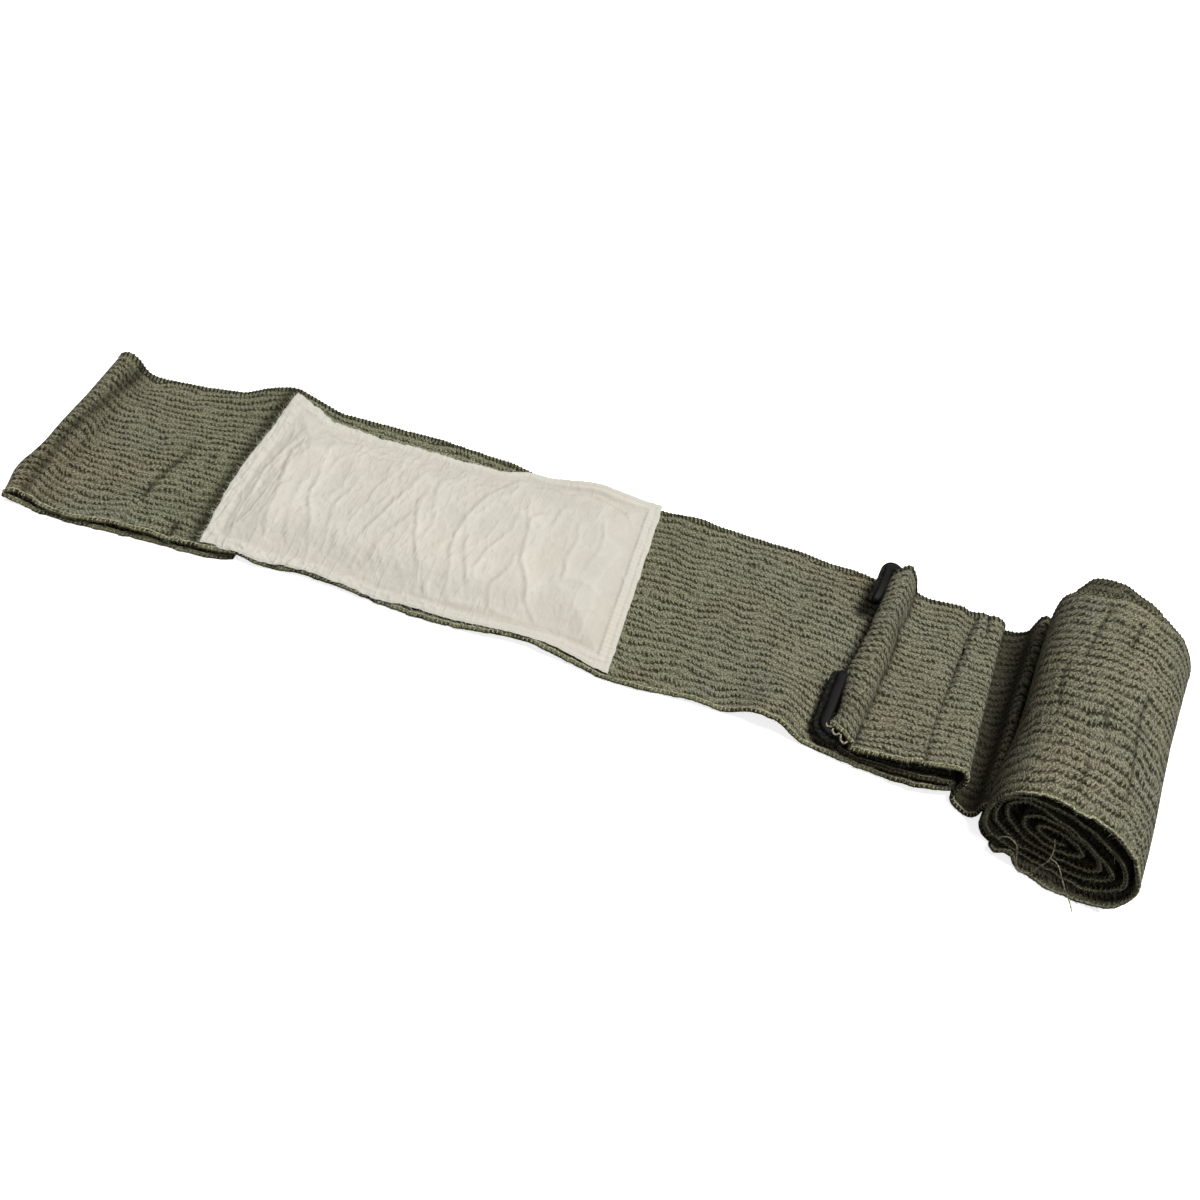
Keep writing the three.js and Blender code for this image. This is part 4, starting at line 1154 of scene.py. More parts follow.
@dataclass
class DressingPad:
    """The pad: a filled, crowned cover with a sewn border and the creases of its soft filling."""

    line: BandageLine
    swells: Swells
    length: float = 175.0
    left_bow: float = 4.5
    rim: float = 1.6
    crown: float = 3.4
    rounding: float = 16.0
    lift: float = 0.5
    rows: int = 290
    columns: int = 170
    near_worn: int = 200
    far_worn: int = 170
    noise: SmoothNoise = field(default_factory=lambda: SmoothNoise(37))

    # along, near, far
    OUTLINE = [
        (-87.5, 48.2, 45.2), (-76, 48.2, 42.2), (-68, 47.8, 39.2), (-42, 45.8, 39.8), (-14, 47.4, 40.9),
        (10, 46.0, 41.9), (28, 45.8, 47.2), (62, 44.4, 51.0), (87.5, 48.2, 51.0),
    ]
    # the wrap's height under the pad: along, height
    BED = [(-112, 3.1), (-96, 3.1), (-86, 3.1), (-70, 3.0), (-58, 1.2), (-43, LYING), (-14, LYING), (120, LYING)]
    # each crease: ridge height, trough depth, and its points (along, across)
    CREASES = [
        (0.55, 0.35, [(-77.5, 30), (-78, 20), (-81, 8), (-82, -8), (-81, -20), (-81, -31), (-77, -42)]),
        (0.75, 0.30, [(-71.7, 21), (-76, 12), (-73, -2), (-71, -12), (-68, -28), (-64, -39)]),
        (0.80, 0.40, [(-63, 26), (-61.5, 12), (-59, 0), (-58, -11), (-53, -21), (-48, -32)]),
        (0.45, 0.30, [(-63, 8), (-64, -6), (-61.5, -20), (-57, -33)]),
        (0.50, 0.45, [(-42, 19), (-44, 2), (-46, -10), (-43, -23), (-41.5, -32)]),
        (0.75, 0.45, [(-17.5, 25), (-22.5, 9), (-25, -3), (-28.5, -16), (-29.5, -27)]),
        (0.65, 0.45, [(-13.6, 16), (-13.6, 5), (-10, -9), (-5.5, -21), (0.7, -36)]),
        (0.50, 0.35, [(-14, -1), (-20, -15), (-21.7, -28), (-23, -38)]),
        (0.40, 0.20, [(-56, 17), (-51.5, 25), (-43, 24), (-32, 27), (-22, 31)]),
        (0.40, 0.30, [(-31, 15), (-34.5, 4), (-34.7, -9)]),
        (0.72, 0.36, [(22, 39), (15.5, 29), (10, 15.5), (6.7, 1), (8, -14), (11, -25), (13, -36)]),
        (0.55, 0.22, [(27, 28), (27, 6), (22, -8.5), (21, -23), (23.7, -35)]),
        (0.70, 0.34, [(27.7, 29), (34, 9), (37, -8), (42.5, -19), (46, -29), (53, -38)]),
        (0.45, 0.35, [(34, -3.5), (33.5, -16), (30, -26), (31.5, -37)]),
        (0.45, 0.30, [(28, 37), (35, 40), (46, 39.5), (50.6, 43), (64, 41), (74, 35.5), (78, 25.5)]),
        (0.35, 0.30, [(40.5, 21), (34.5, 17), (34, 6.6)]),
        (0.35, 0.25, [(47, 30.5), (45, 21.6), (43, 10.4)]),
        (0.60, 0.25, [(53.5, 21), (55.7, 10.7), (55.6, -4), (57, -15)]),
        (0.22, 0.12, [(63, -34), (69, -25), (79, -21)]),
        (0.22, 0.12, [(46, -27), (52.5, -17), (61, -11), (72.5, -13.7), (76, -21)]),
        (0.55, 0.35, [(8, 3), (14, -12), (18, -24), (23, -36)]),
        (0.45, 0.30, [(-6, 30), (-10, 14), (-4, -4), (-7, -20)]),
        (0.35, 0.25, [(64, 30), (67, 12), (64, -4)]),
        (0.60, 0.50, [(4.7, -30), (5, -37), (9, -41.5), (14, -40.5)]),
        (0.50, 0.45, [(14, -36), (16, -40), (22, -39.5), (31, -38)]),
        (0.45, 0.40, [(31, -33), (33, -37), (41, -38.5), (50, -39)]),
        (0.40, 0.30, [(-72, 33), (-62, 29), (-50, 31), (-38, 30)]),
    ]

    @staticmethod
    def spread(count: int) -> np.ndarray:
        """Places from 0 to 1 that lie closer together towards both ends."""
        even = np.linspace(0, 1, count)
        return 0.75 * even + 0.25 * (0.5 - 0.5 * np.cos(math.pi * even))

    def border(
        self, straight: np.ndarray, frayed: np.ndarray, column: int, wave: float, fray: float, start: float
    ) -> np.ndarray:
        """How far a long border lies from the line: the outline's number, rougher where the border is frayed.

        Args:
            straight: distance along the line.
            frayed: how frayed the border is there, 0 to 1.
            column: the outline's column.
            wave: the length of the slow waves.
            fray: the length of the short ones.
            start: where the slow waves are read in the noise.

        Returns:
            The distances.
        """
        slow = (0.3 + 0.3 * frayed) * self.noise.layered(straight / wave, start)
        short = 0.5 * frayed * self.noise.at(straight / fray, start + 60)
        return eased_table(straight, self.OUTLINE, column) + slow + short

    def bed(self, along: np.ndarray, across: np.ndarray) -> np.ndarray:
        """The height of the pad's underside: the wrap's middle, half its thickness and a small lift."""
        return eased_table(along, self.BED, 1) + self.swells.height(along, across) + LYING + self.lift

    def creases(self, along: np.ndarray, across: np.ndarray) -> tuple[np.ndarray, np.ndarray]:
        """The creases' relief: beside each polyline a soft ridge exp(-((d - 1.7)/1.5)^2), and on it a thin trough.

        Faint pulled folds lie between them: (1 - |noise|)^4 of noise that is drawn out across the pad.

        Args:
            along: distance along the line.
            across: distance to the far side of it.

        Returns:
            The relief in millimetres, and how much shade to paint in each crease's trough, 0 to 1.
        """
        relief = np.zeros_like(along)
        depth = np.zeros_like(along)
        place = np.stack([along, across], -1)
        place = place + 0.6 * np.stack(
            [self.noise.layered(along / 13, across / 13, 2), self.noise.layered(along / 15 + 50, across / 15, 2)], -1
        )
        for ridge, trough, points in self.CREASES:
            line = centripetal(np.array(points, float), 4)
            best = np.full(along.shape, 1e9)
            signed = np.zeros_like(along)
            reach = np.zeros_like(along)
            for k, (a, b) in enumerate(zip(line[:-1], line[1:])):
                way = b - a
                t = np.clip(((place - a) @ way) / (way @ way), 0, 1)
                gap = place - a - t[..., None] * way
                distance = np.hypot(gap[..., 0], gap[..., 1])
                closer = distance < best
                side = np.sign(way[0] * gap[..., 1] - way[1] * gap[..., 0])
                best = np.where(closer, distance, best)
                signed = np.where(closer, side * distance, signed)
                reach = np.where(closer, (k + t) / (len(line) - 1), reach)
            fade = np.sin(math.pi * np.clip(0.04 + 0.92 * reach, 0, 1)) ** 0.6
            relief += fade * (
                ridge * (1.2 * bell(signed - 1.4, 1.1) + 0.55 * bell(signed - 4.2, 3.4))
                - 0.8 * trough * bell(signed + 0.3, 1.0) + 0.3 * ridge * bell(signed + 2.8, 2.2)
            )
            depth = np.maximum(depth, fade * trough * bell(signed + 0.3, 0.8) * 1.3)
        slanted = (along - 0.16 * across) / 7.5 + 0.6 * self.noise.at(along / 22, across / 18)
        pinched = (1 - np.abs(self.noise.at(slanted, across / 34 + 60))) ** 4
        fine = (1 - np.abs(self.noise.at(slanted * 2.3 + 9, across / 16 + 90))) ** 5
        relief = 0.66 * relief + 0.42 * pinched + 0.26 * fine
        return relief, np.clip(depth, 0, 1)

    def build(self, finish: Material, yarns: "EdgeYarns", fluff: Material) -> None:
        """The pad's cover: a rim, a sewn channel inside it and a crown with creases, closed by a flat underside.

        Thickness is rim + crown*inside - seam + creases*free + border, where inside and free ease from the seam
        inwards, and border is the relief of the sewn rim: welt, second seam, ribs, tufts and stitches.

        Args:
            finish: its material.
            yarns: makes the fibres of its frayed borders.
            fluff: the fibres' material.
        """
        n, m = self.rows, self.columns
        share, side = self.spread(n)[:, None], self.spread(m)[None, :]
        rough = self.noise
        straight = self.length * (share - 0.5)
        frayed = 1 - ease(straight, -20, 40)
        near = self.border(straight, frayed, 1, 4.0, 1.5, 4.5)
        far = self.border(straight, frayed, 2, 4.5, 1.7, 14.5)
        across = -near + (near + far) * side

        # the grid's places: both short sides are bowed or rough
        lumps = rough.layered(across / 5.0, 24.5)
        bow = self.left_bow * np.sin(math.pi * side) + 0.35 * lumps
        along = straight - bow * (1 - share) ** 2 + 0.3 * rough.layered(across / 6.0, 34.5) * share**2
        straight = np.broadcast_to(straight, along.shape)
        inset = np.minimum.reduce([self.length / 2 - np.abs(straight), near + across, far - across])

        # the thickness: a sewn border with its channel, welt, ribs and tufts, and the crown inside it
        width = np.interp(along, [-88, -60, 20, 88], [6.5, 5.5, 5.0, 7.5])
        inside = ease(inset - width, 0, self.rounding)
        seam = bell(inset - width, 1.3)
        welt = bell(inset - width + 2.0, 1.1)
        relief, depth = self.creases(along, across)
        free = ease(inset - width, -1.0, 5.0)
        ribs = np.sin(2 * math.pi * (across + 0.5 * lumps) / 2.3) * ease(along, 76, 80)
        ribs = ribs * (1 - ease(inset - width, -1.5, 0))
        second = bell(inset - 2.6, 0.6) * ease(along, 20, 60)
        border = 1 - ease(inset - width, -1.5, 0.5)
        tufts = rough.layered(along / 2.2, across / 2.2 + 5, 2) + 0.6 * rough.at(along / 0.9, across / 0.9)
        tufts = frayed * border * tufts
        thickness = (
            self.rim + self.crown * inside - (0.65 - 0.4 * frayed) * seam + 0.3 * welt + 0.85 * free * relief
            - 0.3 * second + 0.22 * ribs + 0.36 * tufts
            + (0.14 + 0.12 * frayed) * free * rough.layered(along / 2.0, across / 3.0, 2)
            + 0.10 * border * np.sin(2 * math.pi * along / 1.7) * ease(47 - np.abs(across), 0, 8)
        )

        # both faces meet at half the rim's height, and the least share leaves the walls a height of their own
        rounded = np.sqrt(np.clip(1 - (1 - np.clip(inset, 0, 1)) ** 2, 0.02, 1))
        base = self.bed(along, across)
        upper = self.line.spot(along, across, base + 0.5 * self.rim + (thickness - 0.5 * self.rim) * rounded)
        lower = self.line.spot(along, across, base + 0.5 * self.rim * (1 - rounded))
        points = np.concatenate([upper.reshape(-1, 3), lower.reshape(-1, 3)])
        total = n * m
        top = np.arange(total).reshape(n, m)
        rim = np.concatenate([top[0, :-1], top[:-1, -1], top[-1, :0:-1], top[:0:-1, 0]])
        after = np.roll(rim, -1)
        walls = np.stack([rim, rim + total, after + total, after], 1)
        uv = np.stack([along, across], -1).reshape(-1, 2) * MM
        # painted shade in the crease troughs with darker sewn seams; lit is a painted highlight on crease ridges, and
        # the border and tufts are lighter
        shade = np.clip(0.35 * depth * free + (0.2 - 0.15 * frayed) * seam + 0.25 * second, 0, 1).ravel()
        lit = np.clip(0.24 + 0.75 * free * relief - 0.5 * depth * free + 0.42 * border + 0.2 * tufts, 0, 1).ravel()
        piece = new_piece(
            "dressing_pad_cover",
            points,
            [grid_faces(n, m)[:, ::-1], grid_faces(n, m, total), walls],
            finish,
            np.concatenate([uv, uv]),
            {"crease": np.concatenate([shade, shade * 0]), "lit": np.concatenate([lit, lit * 0])},
        )
        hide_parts("dressing_pad")

        # fibres stand out from the left side and, for so many rows, from both long borders
        worn = np.concatenate([upper[self.near_worn:0:-1, 0], upper[0, :-1], upper[:self.far_worn, -1]])
        away = unit(unit(worn - upper[n // 2, m // 2]) + np.array([0.0, 0.0, 0.5]))
        yarns.fibres("pad_fibres", [(worn, away)], fluff, "pad", 73, 0.5, 1.1, 0.07)


# --- The pressure clip


@dataclass
class PressureClip:
    """A flat C-shaped ring of stepped section: a wider grained base with a narrower rounded bead towards its inside."""

    line: BandageLine
    length: float = 99.0
    bar_width: float = BAR_WIDTH
    base_height: float = 2.6
    bead_width: float = 3.7
    bead_inwards: float = 0.85
    flange: float = 0.9
    bead_height: float = 1.8
    corner: float = 7.0
    mouth: float = 40.0
    mouth_shift: float = 3.8
    window: float = 2.6
    along: float = 191.1
    across: float = CLIP_ACROSS
    height: float = CLIP_HEIGHT
    tilt: float = -3.0
    rise: float = CLIP_RISE
    turned: float = 0.8
    hook_lift: float = 0.22
    hook_pull: float = 0.2

    def route(self) -> np.ndarray:
        """The middle line of the ring from one hook's tip round to the other: straights joined by quarter circles.

        Returns:
            Points (n, 2) about 0.6 mm apart.
        """
        reach = self.bar_width / 2 + self.window + SLEEVE_RADIUS + CLOTH / 2
        end = self.length / 2 - self.bar_width / 2
        r = self.corner - self.bar_width / 2
        low = self.mouth_shift - self.mouth / 2
        high = self.mouth_shift + self.mouth / 2
        quarter = np.linspace(0, math.pi / 2, 12)
        # each corner's middle, and the angle at which its arc begins
        corners = [
            (-reach + r, -end + r, math.pi), (-r, -end + r, 1.5 * math.pi),
            (-r, end - r, 0.0), (-reach + r, end - r, 0.5 * math.pi),
        ]
        arcs = [np.stack([x + r * np.cos(a + quarter), y + r * np.sin(a + quarter)], 1) for x, y, a in corners]
        way = np.concatenate([[(-reach, low)], *arcs, [(-reach, high)]])
        run = walked(way)
        return sampled(np.linspace(0, run[-1], int(run[-1] / 0.6)), run, way)

    def profile(self) -> tuple[np.ndarray, np.ndarray]:
        """The bar's section from side to side: a base with rounded corners, a step and a rounded bead.

        Returns:
            The section's points (n, 2), sideways and up, and how much handling rubs each.
        """
        w, b, inwards = self.bar_width / 2, self.bead_width / 2, self.bead_inwards
        low = -(self.base_height + self.bead_height) / 2
        step, top = low + self.base_height, low + self.base_height + self.bead_height
        right = [
            (0, low, 0), (w - 0.7, low, 0), (w - 0.2, low + 0.2, 0.2), (w, low + 0.7, 0.2), (w, step - 0.8, 0.2),
            (w - 0.12, step - 0.4, 0.7), (w - 0.5, step - 0.08, 0.8), (b + 0.45 - inwards, step + 0.02, 0.1),
            (b + 0.12 - inwards, step + 0.2, 0), (b - inwards, step + 0.6, 0.1), (b - 0.05 - inwards, top - 0.8, 0.2),
            (b - 0.25 - inwards, top - 0.35, 0.9), (b - 0.7 - inwards, top - 0.06, 1.0), (b - 1.2 - inwards, top, 0.5),
            (-inwards, top, 0.35),
        ]
        left = [
            (-b + 1.2 - inwards, top, 0.5), (-b + 0.7 - inwards, top - 0.06, 1.0),
            (-b + 0.25 - inwards, top - 0.35, 0.9), (-b + 0.05 - inwards, top - 0.8, 0.3), (-w, step, 0.1),
            (-w, step - 0.8, 0.1), (-w, low + 0.7, 0.2), (-w + 0.2, low + 0.2, 0.2), (-w + 0.7, low, 0),
        ]
        rows = np.array(right + left)
        return rows[:, :2], rows[:, 2]

    def build(self, finish: Material) -> None:
        """The ring: its section carried along its route and drawn in at both tips, its far hook pulled up and in.

        Within half a bar's width of a tip its width is sqrt(1 - c^2) and its height 0.45 + 0.55*sqrt(1 - c^3) of the
        full one, where c grows from 0 to 1 at the tip.

        Args:
            finish: its material.
        """
        route = self.route()
        shape, rub = self.profile()
        ahead = unit(np.gradient(route, axis=0))
        side = np.stack([ahead[:, 1], -ahead[:, 0]], 1)
        run = walked(route)
        tip = np.minimum(run, run[-1] - run)
        close = np.clip(1 - tip / (self.bar_width / 2), 0, 1)
        narrow = np.sqrt(np.clip(1 - close**2, 0.003, 1))
        flat = 0.45 + 0.55 * np.sqrt(np.clip(1 - close**3, 0, 1))
        wide = 1 + self.flange / (self.bar_width / 2) * ease(-route[:, 0], 2, 7)[:, None]
        sideways = np.where(shape[:, 0] > 0, shape[:, 0] * wide, shape[:, 0]) * narrow[:, None]
        swept = route[:, None] + side[:, None] * sideways[..., None]
        ring = np.concatenate([swept, (shape[:, 1] * flat[:, None])[..., None]], -1)
        pulled = ease(ring[..., 1], 12, 34)
        ring[..., 2] -= self.hook_lift * pulled * ring[..., 0]
        ring[..., 0] *= 1 - self.hook_pull * pulled
        seat = (
            Matrix.Rotation(float(self.line.heading(self.along)) + math.radians(self.turned), 4, "Z")
            @ Matrix.Rotation(math.radians(self.rise), 4, "X")
            @ Matrix.Rotation(math.radians(self.tilt), 4, "Y")
        )
        place = self.line.spot(*np.array([self.along, self.across, self.height]))
        points = ring.reshape(-1, 3) @ np.array(seat.to_3x3()).T + place
        n, m = ring.shape[:2]
        first = np.arange(m)[None, :]
        flange = shape[:, 0] > self.bead_width / 2 - self.bead_inwards - 0.1
        piece = new_piece(
            "pressure_clip_ring",
            points,
            [grid_faces(n, m, closed=True), first[:, ::-1], first + (n - 1) * m],
            finish,
            None,
            {"rub": np.tile(rub, n), "grip": np.tile(flange * 1.0, n)},
        )
        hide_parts("pressure_clip")


# --- Yarns along the selvedges


@dataclass
class EdgeYarns:
    """The selvedges' yarns: a pale cord and pale ticks on the near edge, dark whip stitches on the far edge."""

    pitch: float = 1.8
    yarn: float = 0.42
    cord: float = 0.32
    noise: SmoothNoise = field(default_factory=lambda: SmoothNoise(53))

    def whip_stitches(
        self, name: str, cloth: ClothGrid, which: Edge, finish: Material, reach: float = 2.0, thin: float = 1.0
    ) -> Object:
        """Short yarns that wrap an edge: each runs from the upper face over the rim to the lower face.

        Args:
            name: the piece's name.
            cloth: the cloth that it edges.
            which: the near or the far edge.
            finish: its material.
            reach: how far in from the edge the yarns begin, in millimetres.
            thin: the yarns' thickness beside the usual.

        Returns:
            The stitches' object.
        """
        edge, out, up = cloth.edge(which)
        run = walked(edge)
        count = int(run[-1] / self.pitch)
        at = (np.arange(count) + 0.5) * self.pitch + 0.3 * self.noise.at(np.arange(count) / 1.3, 1.5)
        p = sampled(at, run, edge)
        o, u, lead = (unit(sampled(at, run, ways)) for ways in (out, up, np.gradient(edge, axis=0)))
        yarn = self.yarn * thin
        half = CLOTH / 2 + 0.3 * yarn
        inwards = reach * (1 + 0.3 * self.noise.at(np.arange(count) / 1.1, 7.5))
        # each point of a stitch: outwards in millimetres, or as a share of its reach where below 0, up and ahead
        steps = [(-1.0, 1.0, 0.35), (-0.35, 1.0, 0.15), (0.55, 0.6, 0.0), (0.62, -0.5, -0.05), (-0.35, -0.95, -0.2)]
        path = np.stack(
            [
                p + o * ((a * inwards)[:, None] if a < 0 else a) + u * b * half + lead * (c * inwards)[:, None]
                for a, b, c in steps
            ],
            1,
        )
        radius = yarn * np.array([0.6, 1.0, 1.0, 1.0, 0.6]) * np.ones((count, 1))
        return self.tubes(name, path, radius, 5, finish, "wrap")

    def near_cord(self, name: str, cloth: ClothGrid, finish: Material, outwards: float, upwards: float) -> Object:
        """The pale twisted cord along the near edge: a round profile that swells with the twist.

        Args:
            name: the piece's name.
            cloth: the cloth that it edges.
            finish: its material.
            outwards: how far beyond the cloth's last point it lies, in millimetres.
            upwards: how far above the cloth's middle it lies, on the side that faces up.

        Returns:
            The cord's object.
        """
        edge, out, up = cloth.edge(Edge.NEAR)
        run = walked(edge)
        fine = np.arange(0, run[-1], 0.55)
        facing, away = (unit(sampled(fine, run, ways)) for ways in (up, out))
        facing = facing * np.tanh(5 * facing[:, 2:])
        p = sampled(fine, run, edge) + outwards * away + upwards * facing
        p = p + facing * (0.12 * self.noise.at(fine / 3.0, 2.5))[:, None]
        p = p + away * (0.25 * self.noise.at(fine / 2.2, 5.5))[:, None]
        radius = self.cord * (1 + 0.25 * np.sin(2 * math.pi * fine / 1.6))
        return self.tubes(name, p[None], radius[None], 6, finish, "wrap")

    def fibres(
        self, name: str, paths: list[tuple[np.ndarray, np.ndarray]], finish: Material, slot: str, seed: int,
        gap: float = 1.1, length: float = 1.7, thick: float = 0.06,
    ) -> Object:
        """Short loose fibres that stand out from edges, each a thin bent tube.

        A fibre's middle line is p + out*reach*t + bend*t*t, with random reach and bend.

        Args:
            name: the piece's name.
            paths: each edge's points and the directions out of it.
            finish: their material.
            slot: passed on to the tubes.
            seed: the start of the random numbers.
            gap: the mean gap between fibres, in millimetres.
            length: their mean length.
            thick: their radius.

        Returns:
            The fibres' object.
        """
        chance = np.random.default_rng(seed)
        lines = []
        for edge, out in paths:
            run = walked(edge)
            count = int(run[-1] / gap)
            at = np.sort(chance.uniform(0, run[-1], count))
            p, o = sampled(at, run, edge), unit(sampled(at, run, out))
            reach = length * chance.uniform(0.35, 1.5, (count, 1))
            bend = chance.normal(0, 0.55, (count, 3)) * reach
            t = np.linspace(0, 1, 4)[None, :, None]
            lines.append(p[:, None] + (o * reach)[:, None] * t + bend[:, None] * t * t)
        path = np.concatenate(lines)
        radius = thick * np.array([1.0, 0.9, 0.7, 0.4]) * np.ones((len(path), 1))
        return self.tubes(name, path, radius, 3, finish, slot)

    @staticmethod
    def tubes(name: str, path: np.ndarray, radius: np.ndarray, sides: int, finish: Material, slot: str) -> Object:
        """One piece of many closed tubes with the same number of points.

        Args:
            name: the piece's name.
            path: the tubes' middle lines (tubes, points, 3).
            radius: their radii (tubes, points).
            sides: how many corners their profile has.
            finish: their material.
            slot: not used.

        Returns:
            The tubes' object.
        """
        rings = tube_grid(path, radius, sides, np.array([0.31, 0.17, 0.93]))
        rings[..., 2] = np.maximum(rings[..., 2], 0.0)
        count, n = path.shape[:2]
        first = n * sides * np.arange(count)[:, None]
        one = grid_faces(n, sides, closed=True)[:, ::-1]
        cap = np.arange(sides)[None, :]
        caps = np.concatenate([cap + first, cap[:, ::-1] + (n - 1) * sides + first])
        walls = (one[None] + first[:, :, None]).reshape(-1, 4)
        return new_piece(name, rings.reshape(-1, 3), [walls, caps], finish)


@dataclass
class LooseThreads:
    """Threads that have come loose at the roll's near end and at the sleeve's near corner."""

    line: BandageLine
    radius: float = 0.22
    samples: int = 40
    sleeve_thickness: float = 1.8
    roll_outwards: float = 3.0
    roll_upwards: float = 3.4

    # threads that begin past this distance along are at the roll
    ROLL_SIDE = 250
    # along, across, height
    THREADS = [
        [
            (258.6, -48, 8), (259.3, -49, 11.2), (261.0, -49.5, 13.4), (264.6, -49.5, 11.9), (267.4, -50, 6.9),
            (269.7, -50.5, 1.4),
        ],
        [
            (269.7, -50.5, 1.4), (272.3, -50.8, 1.2), (274.5, -50.5, 2.6), (275.6, -49.5, 7.8), (276.3, -48.5, 12.6),
            (275.5, -46, 16.6), (273.8, -44, 19.2),
        ],
        [
            (275.9, -48, 13.4), (278.9, -49, 13.8), (281.8, -50, 11.4), (286.4, -51, 6.1), (291.2, -52, 1.6),
            (293, -54, 0.5),
        ],
        [(183.4, -34.6, 8.0), (182.4, -36.2, 8.6), (182.9, -37.8, 9.2), (184.3, -37.4, 9.6), (185.2, -36.4, 9.8)],
        [(185.6, -37.2, 9.8), (185.4, -39.2, 9.6), (186.9, -40.2, 9.8), (188.2, -39.4, 10.8)],
        [(188.6, -39.8, 11.0), (189.3, -41.8, 10.4), (190.9, -42.6, 10.2), (191.8, -41.6, 11.2)],
    ]

    def build(self, name: str, yarns: EdgeYarns, finish: Material) -> Object:
        """The threads as round tubes along smooth curves through their points.

        Args:
            name: the piece's name.
            yarns: makes the tubes.
            finish: their material.

        Returns:
            The threads' object.
        """
        lines = []
        for points in self.THREADS:
            curve = centripetal(np.array(points, float), 8)
            pick = np.linspace(0, len(curve) - 1, self.samples)
            a, c, h = sampled(pick, np.arange(len(curve)), curve).T
            if points[0][0] > self.ROLL_SIDE:
                c, h = c - self.roll_outwards, h + self.roll_upwards
            lines.append(self.line.spot(a, c, h))
        path = np.array(lines)
        thick = np.array([1.0 if points[0][0] > self.ROLL_SIDE else self.sleeve_thickness for points in self.THREADS])
        radius = self.radius * (1 + 0.2 * np.sin(np.arange(self.samples) * 1.3))[None, :] * thick[:, None]
        return yarns.tubes(name, path, radius, 6, finish, "wrap")


# --- Camera, floor and light


@dataclass
class Studio:
    """The photograph's viewing angle, a plain floor and soft overhead light."""

    azimuth: float = 4.94
    elevation: float = 50.6
    roll: float = 13.46
    target: tuple = (3.06, 4.26, 0.0)
    distance: float = 403.4
    lens: float = 28.5
    sensor: float = 36.0
    floor_reach: float = 6.0
    floor_drop: float = 5e-5
    surround: float = 0.11

    CORNERS = [(-1, -1), (1, -1), (1, 1), (-1, 1)]
    # name, place in metres, side in metres, watts
    LIGHTS = [("key", (0.70, 0.30, 2.6), 1.2, 93.0), ("front_fill", (-0.4, -1.7, 1.9), 1.4, 2.0)]

    def camera(self) -> None:
        """Looks at the target from the azimuth and elevation, rolled about its own axis, and is made current."""
        a, e, r = (math.radians(v) for v in (self.azimuth, self.elevation, self.roll))
        back = Vector((math.sin(a) * math.cos(e), -math.cos(a) * math.cos(e), math.sin(e)))
        right = Vector((math.cos(a), math.sin(a), 0))
        up = back.cross(right)
        turned = right * math.cos(r) + up * math.sin(r)
        upright = up * math.cos(r) - right * math.sin(r)
        data = bpy.data.cameras.new("photo_view")
        data.lens, data.sensor_width, data.sensor_fit = self.lens, self.sensor, "HORIZONTAL"
        data.clip_start, data.clip_end = 0.01, 20.0
        camera = bpy.data.objects.new("photo_view", data)
        place = (Vector(self.target) + back * self.distance) * MM
        camera.matrix_world = Matrix.Translation(place) @ Matrix((turned, upright, back)).transposed().to_4x4()
        bpy.context.scene.collection.objects.link(camera)
        bpy.context.scene.camera = camera

    def floor(self, finish: Material) -> None:
        """A large flat floor a hair under the bandage, in metres."""
        mesh = bpy.data.meshes.new("floor")
        corners = [(x * self.floor_reach, y * self.floor_reach, -self.floor_drop) for x, y in self.CORNERS]
        mesh.from_pydata(corners, [], [(0, 1, 2, 3)])
        mesh.materials.append(finish)
        floor = bpy.data.objects.new("floor", mesh)
        bpy.context.scene.collection.objects.link(floor)

    def light(self, name: str, place: tuple, size: float, energy: float) -> None:
        """A square soft light that points at the bandage.

        Args:
            name: its name.
            place: where it hangs, in metres.
            size: its side in metres.
            energy: its power in watts.
        """
        data = bpy.data.lights.new(name, "AREA")
        data.size, data.energy = size, energy
        lamp = bpy.data.objects.new(name, data)
        toward = Vector((0, 0, 0)) - Vector(place)
        lamp.matrix_world = Matrix.Translation(place) @ toward.to_track_quat("-Z", "Y").to_matrix().to_4x4()
        bpy.context.scene.collection.objects.link(lamp)

    def build(self, floor_finish: Material) -> None:
        """Makes the camera, the floor, the lights and an even pale surround."""
        self.camera()
        self.floor(floor_finish)
        for light in self.LIGHTS:
            self.light(*light)
        world = bpy.data.worlds.new("surround")
        world.use_nodes = True
        background = world.node_tree.nodes["Background"].inputs
        background["Color"].default_value = (1.0, 1.0, 1.0, 1.0)
        background["Strength"].default_value = self.surround
        bpy.context.scene.world = world
        bpy.context.scene.view_settings.view_transform = "Standard"


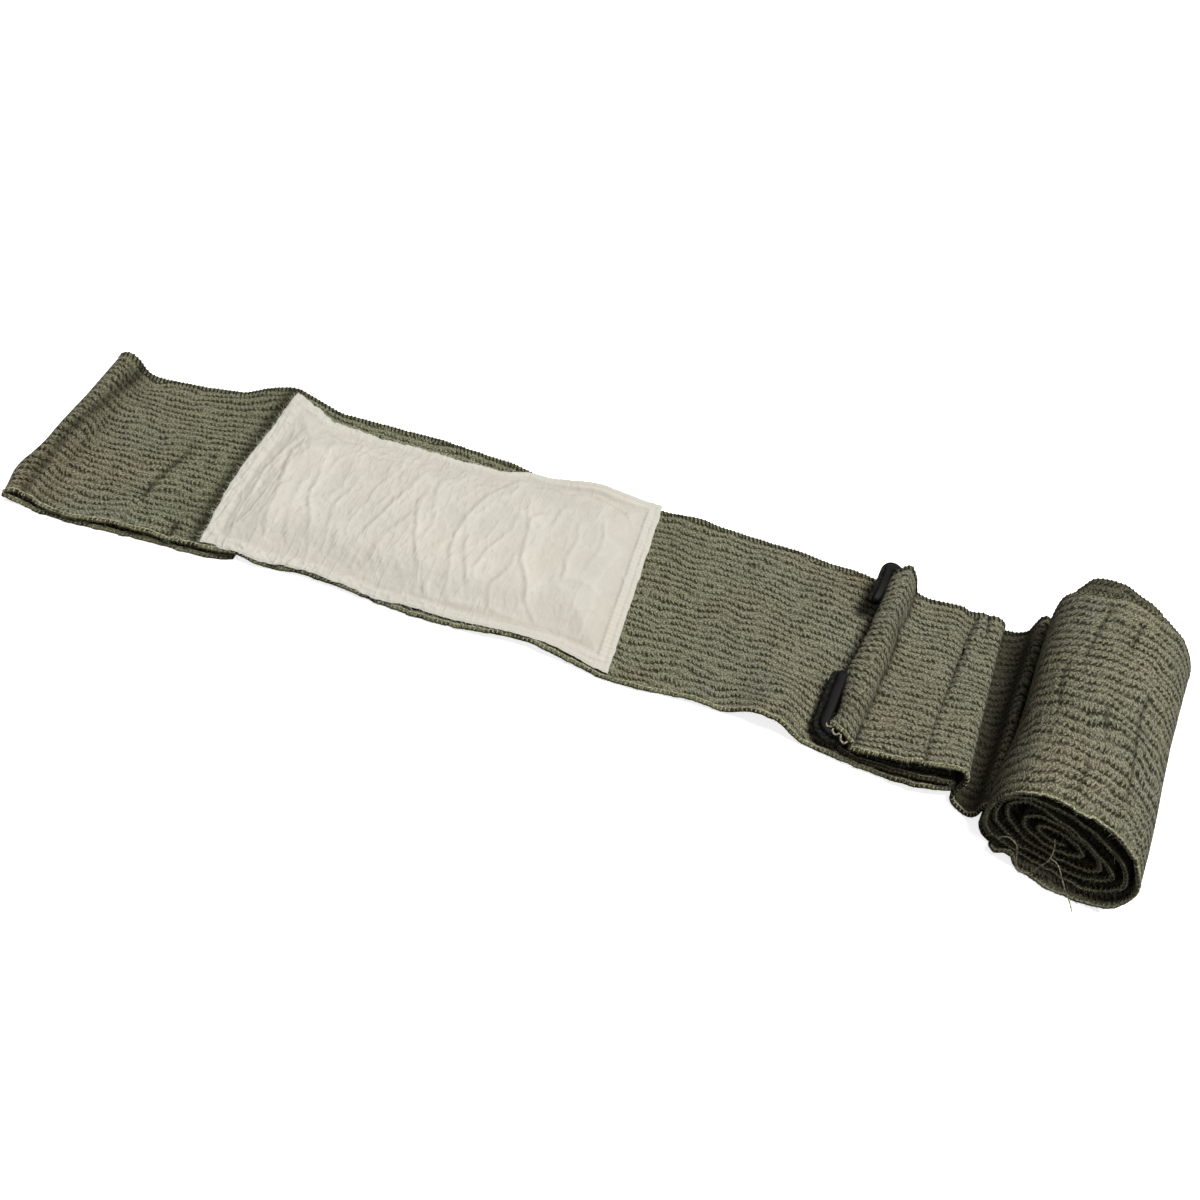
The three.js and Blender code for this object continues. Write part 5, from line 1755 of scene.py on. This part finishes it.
def main() -> None:
    """Builds the finishes, the studio and every piece."""
    logging.basicConfig(level=logging.INFO, format="%(name)s: %(message)s")
    groups = SharedGroups()
    Studio().build(FloorFinish().material(groups, "pale_floor"))
    wrap = WrapFinish().material(groups, "olive_knit")
    dark_yarn = YarnFinish((0.022, 0.022, 0.010, 1.0), (0.008, 0.008, 0.004, 1.0)).material(groups, "dark_edge_yarn")
    pale_yarn = YarnFinish((0.50, 0.48, 0.34, 1.0), (0.13, 0.12, 0.07, 1.0)).material(groups, "pale_edge_yarn")
    line, swells = BandageLine(), Swells()
    yarns = EdgeYarns()

    strip = WrapStrip(line, swells).grid()
    strip_piece = strip.piece("wrap_strip", wrap)
    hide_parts("wrap_loose_end")
    selvedges = [strip.edge(Edge.NEAR)[:2], strip.edge(Edge.FAR)[:2]]
    strip_edges = [
        yarns.whip_stitches("strip_whip_stitches", strip, Edge.FAR, dark_yarn, 2.4),
        yarns.whip_stitches("strip_near_ticks", strip, Edge.NEAR, pale_yarn, 0.8, 0.45),
        yarns.near_cord("strip_edge_cord", strip, pale_yarn, -0.7, 0.8),
        yarns.fibres("strip_fibres", selvedges, pale_yarn, "wrap", 71, 2.2, 1.3),
    ]
    width = float(np.mean(strip.across[:, -1] - strip.across[:, 0]))
    length = float(strip.along_cloth[-1])

    roll = WrapRoll(line).grid(length + 0.3)
    roll_piece = roll.piece("wrap_roll_cloth", wrap)
    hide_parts("wrap_roll")
    roll_edges = [
        yarns.whip_stitches("roll_whip_stitches", roll, Edge.FAR, dark_yarn, 2.4),
        yarns.whip_stitches("roll_near_ticks", roll, Edge.NEAR, pale_yarn, 0.9, 0.55),
        EdgeYarns(cord=0.42).near_cord("roll_edge_cord", roll, pale_yarn, 0.3, 0.45),
        yarns.fibres("roll_fibres", [roll.edge(Edge.NEAR)[:2]], pale_yarn, "wrap", 72, 1.3, 1.4),
        LooseThreads(line).build("loose_threads", yarns, pale_yarn),
    ]
    roll_width = float(np.mean(roll.across[:, -1] - roll.across[:, 0]))
    roll_length = float(roll.along_cloth[-1] - roll.along_cloth[0])

    fluff = YarnFinish((0.74, 0.72, 0.65, 1.0), (0.56, 0.54, 0.47, 1.0)).material(groups, "pad_fluff")
    DressingPad(line, swells).build(GauzeFinish().material(groups, "cream_gauze"), yarns, fluff)
    PressureClip(line).build(PlasticFinish().material(groups, "black_plastic"))

    LOG.info("loose end %.0f mm, wound part %.0f mm", length, roll_length)


if __name__ == "__main__":
    main()
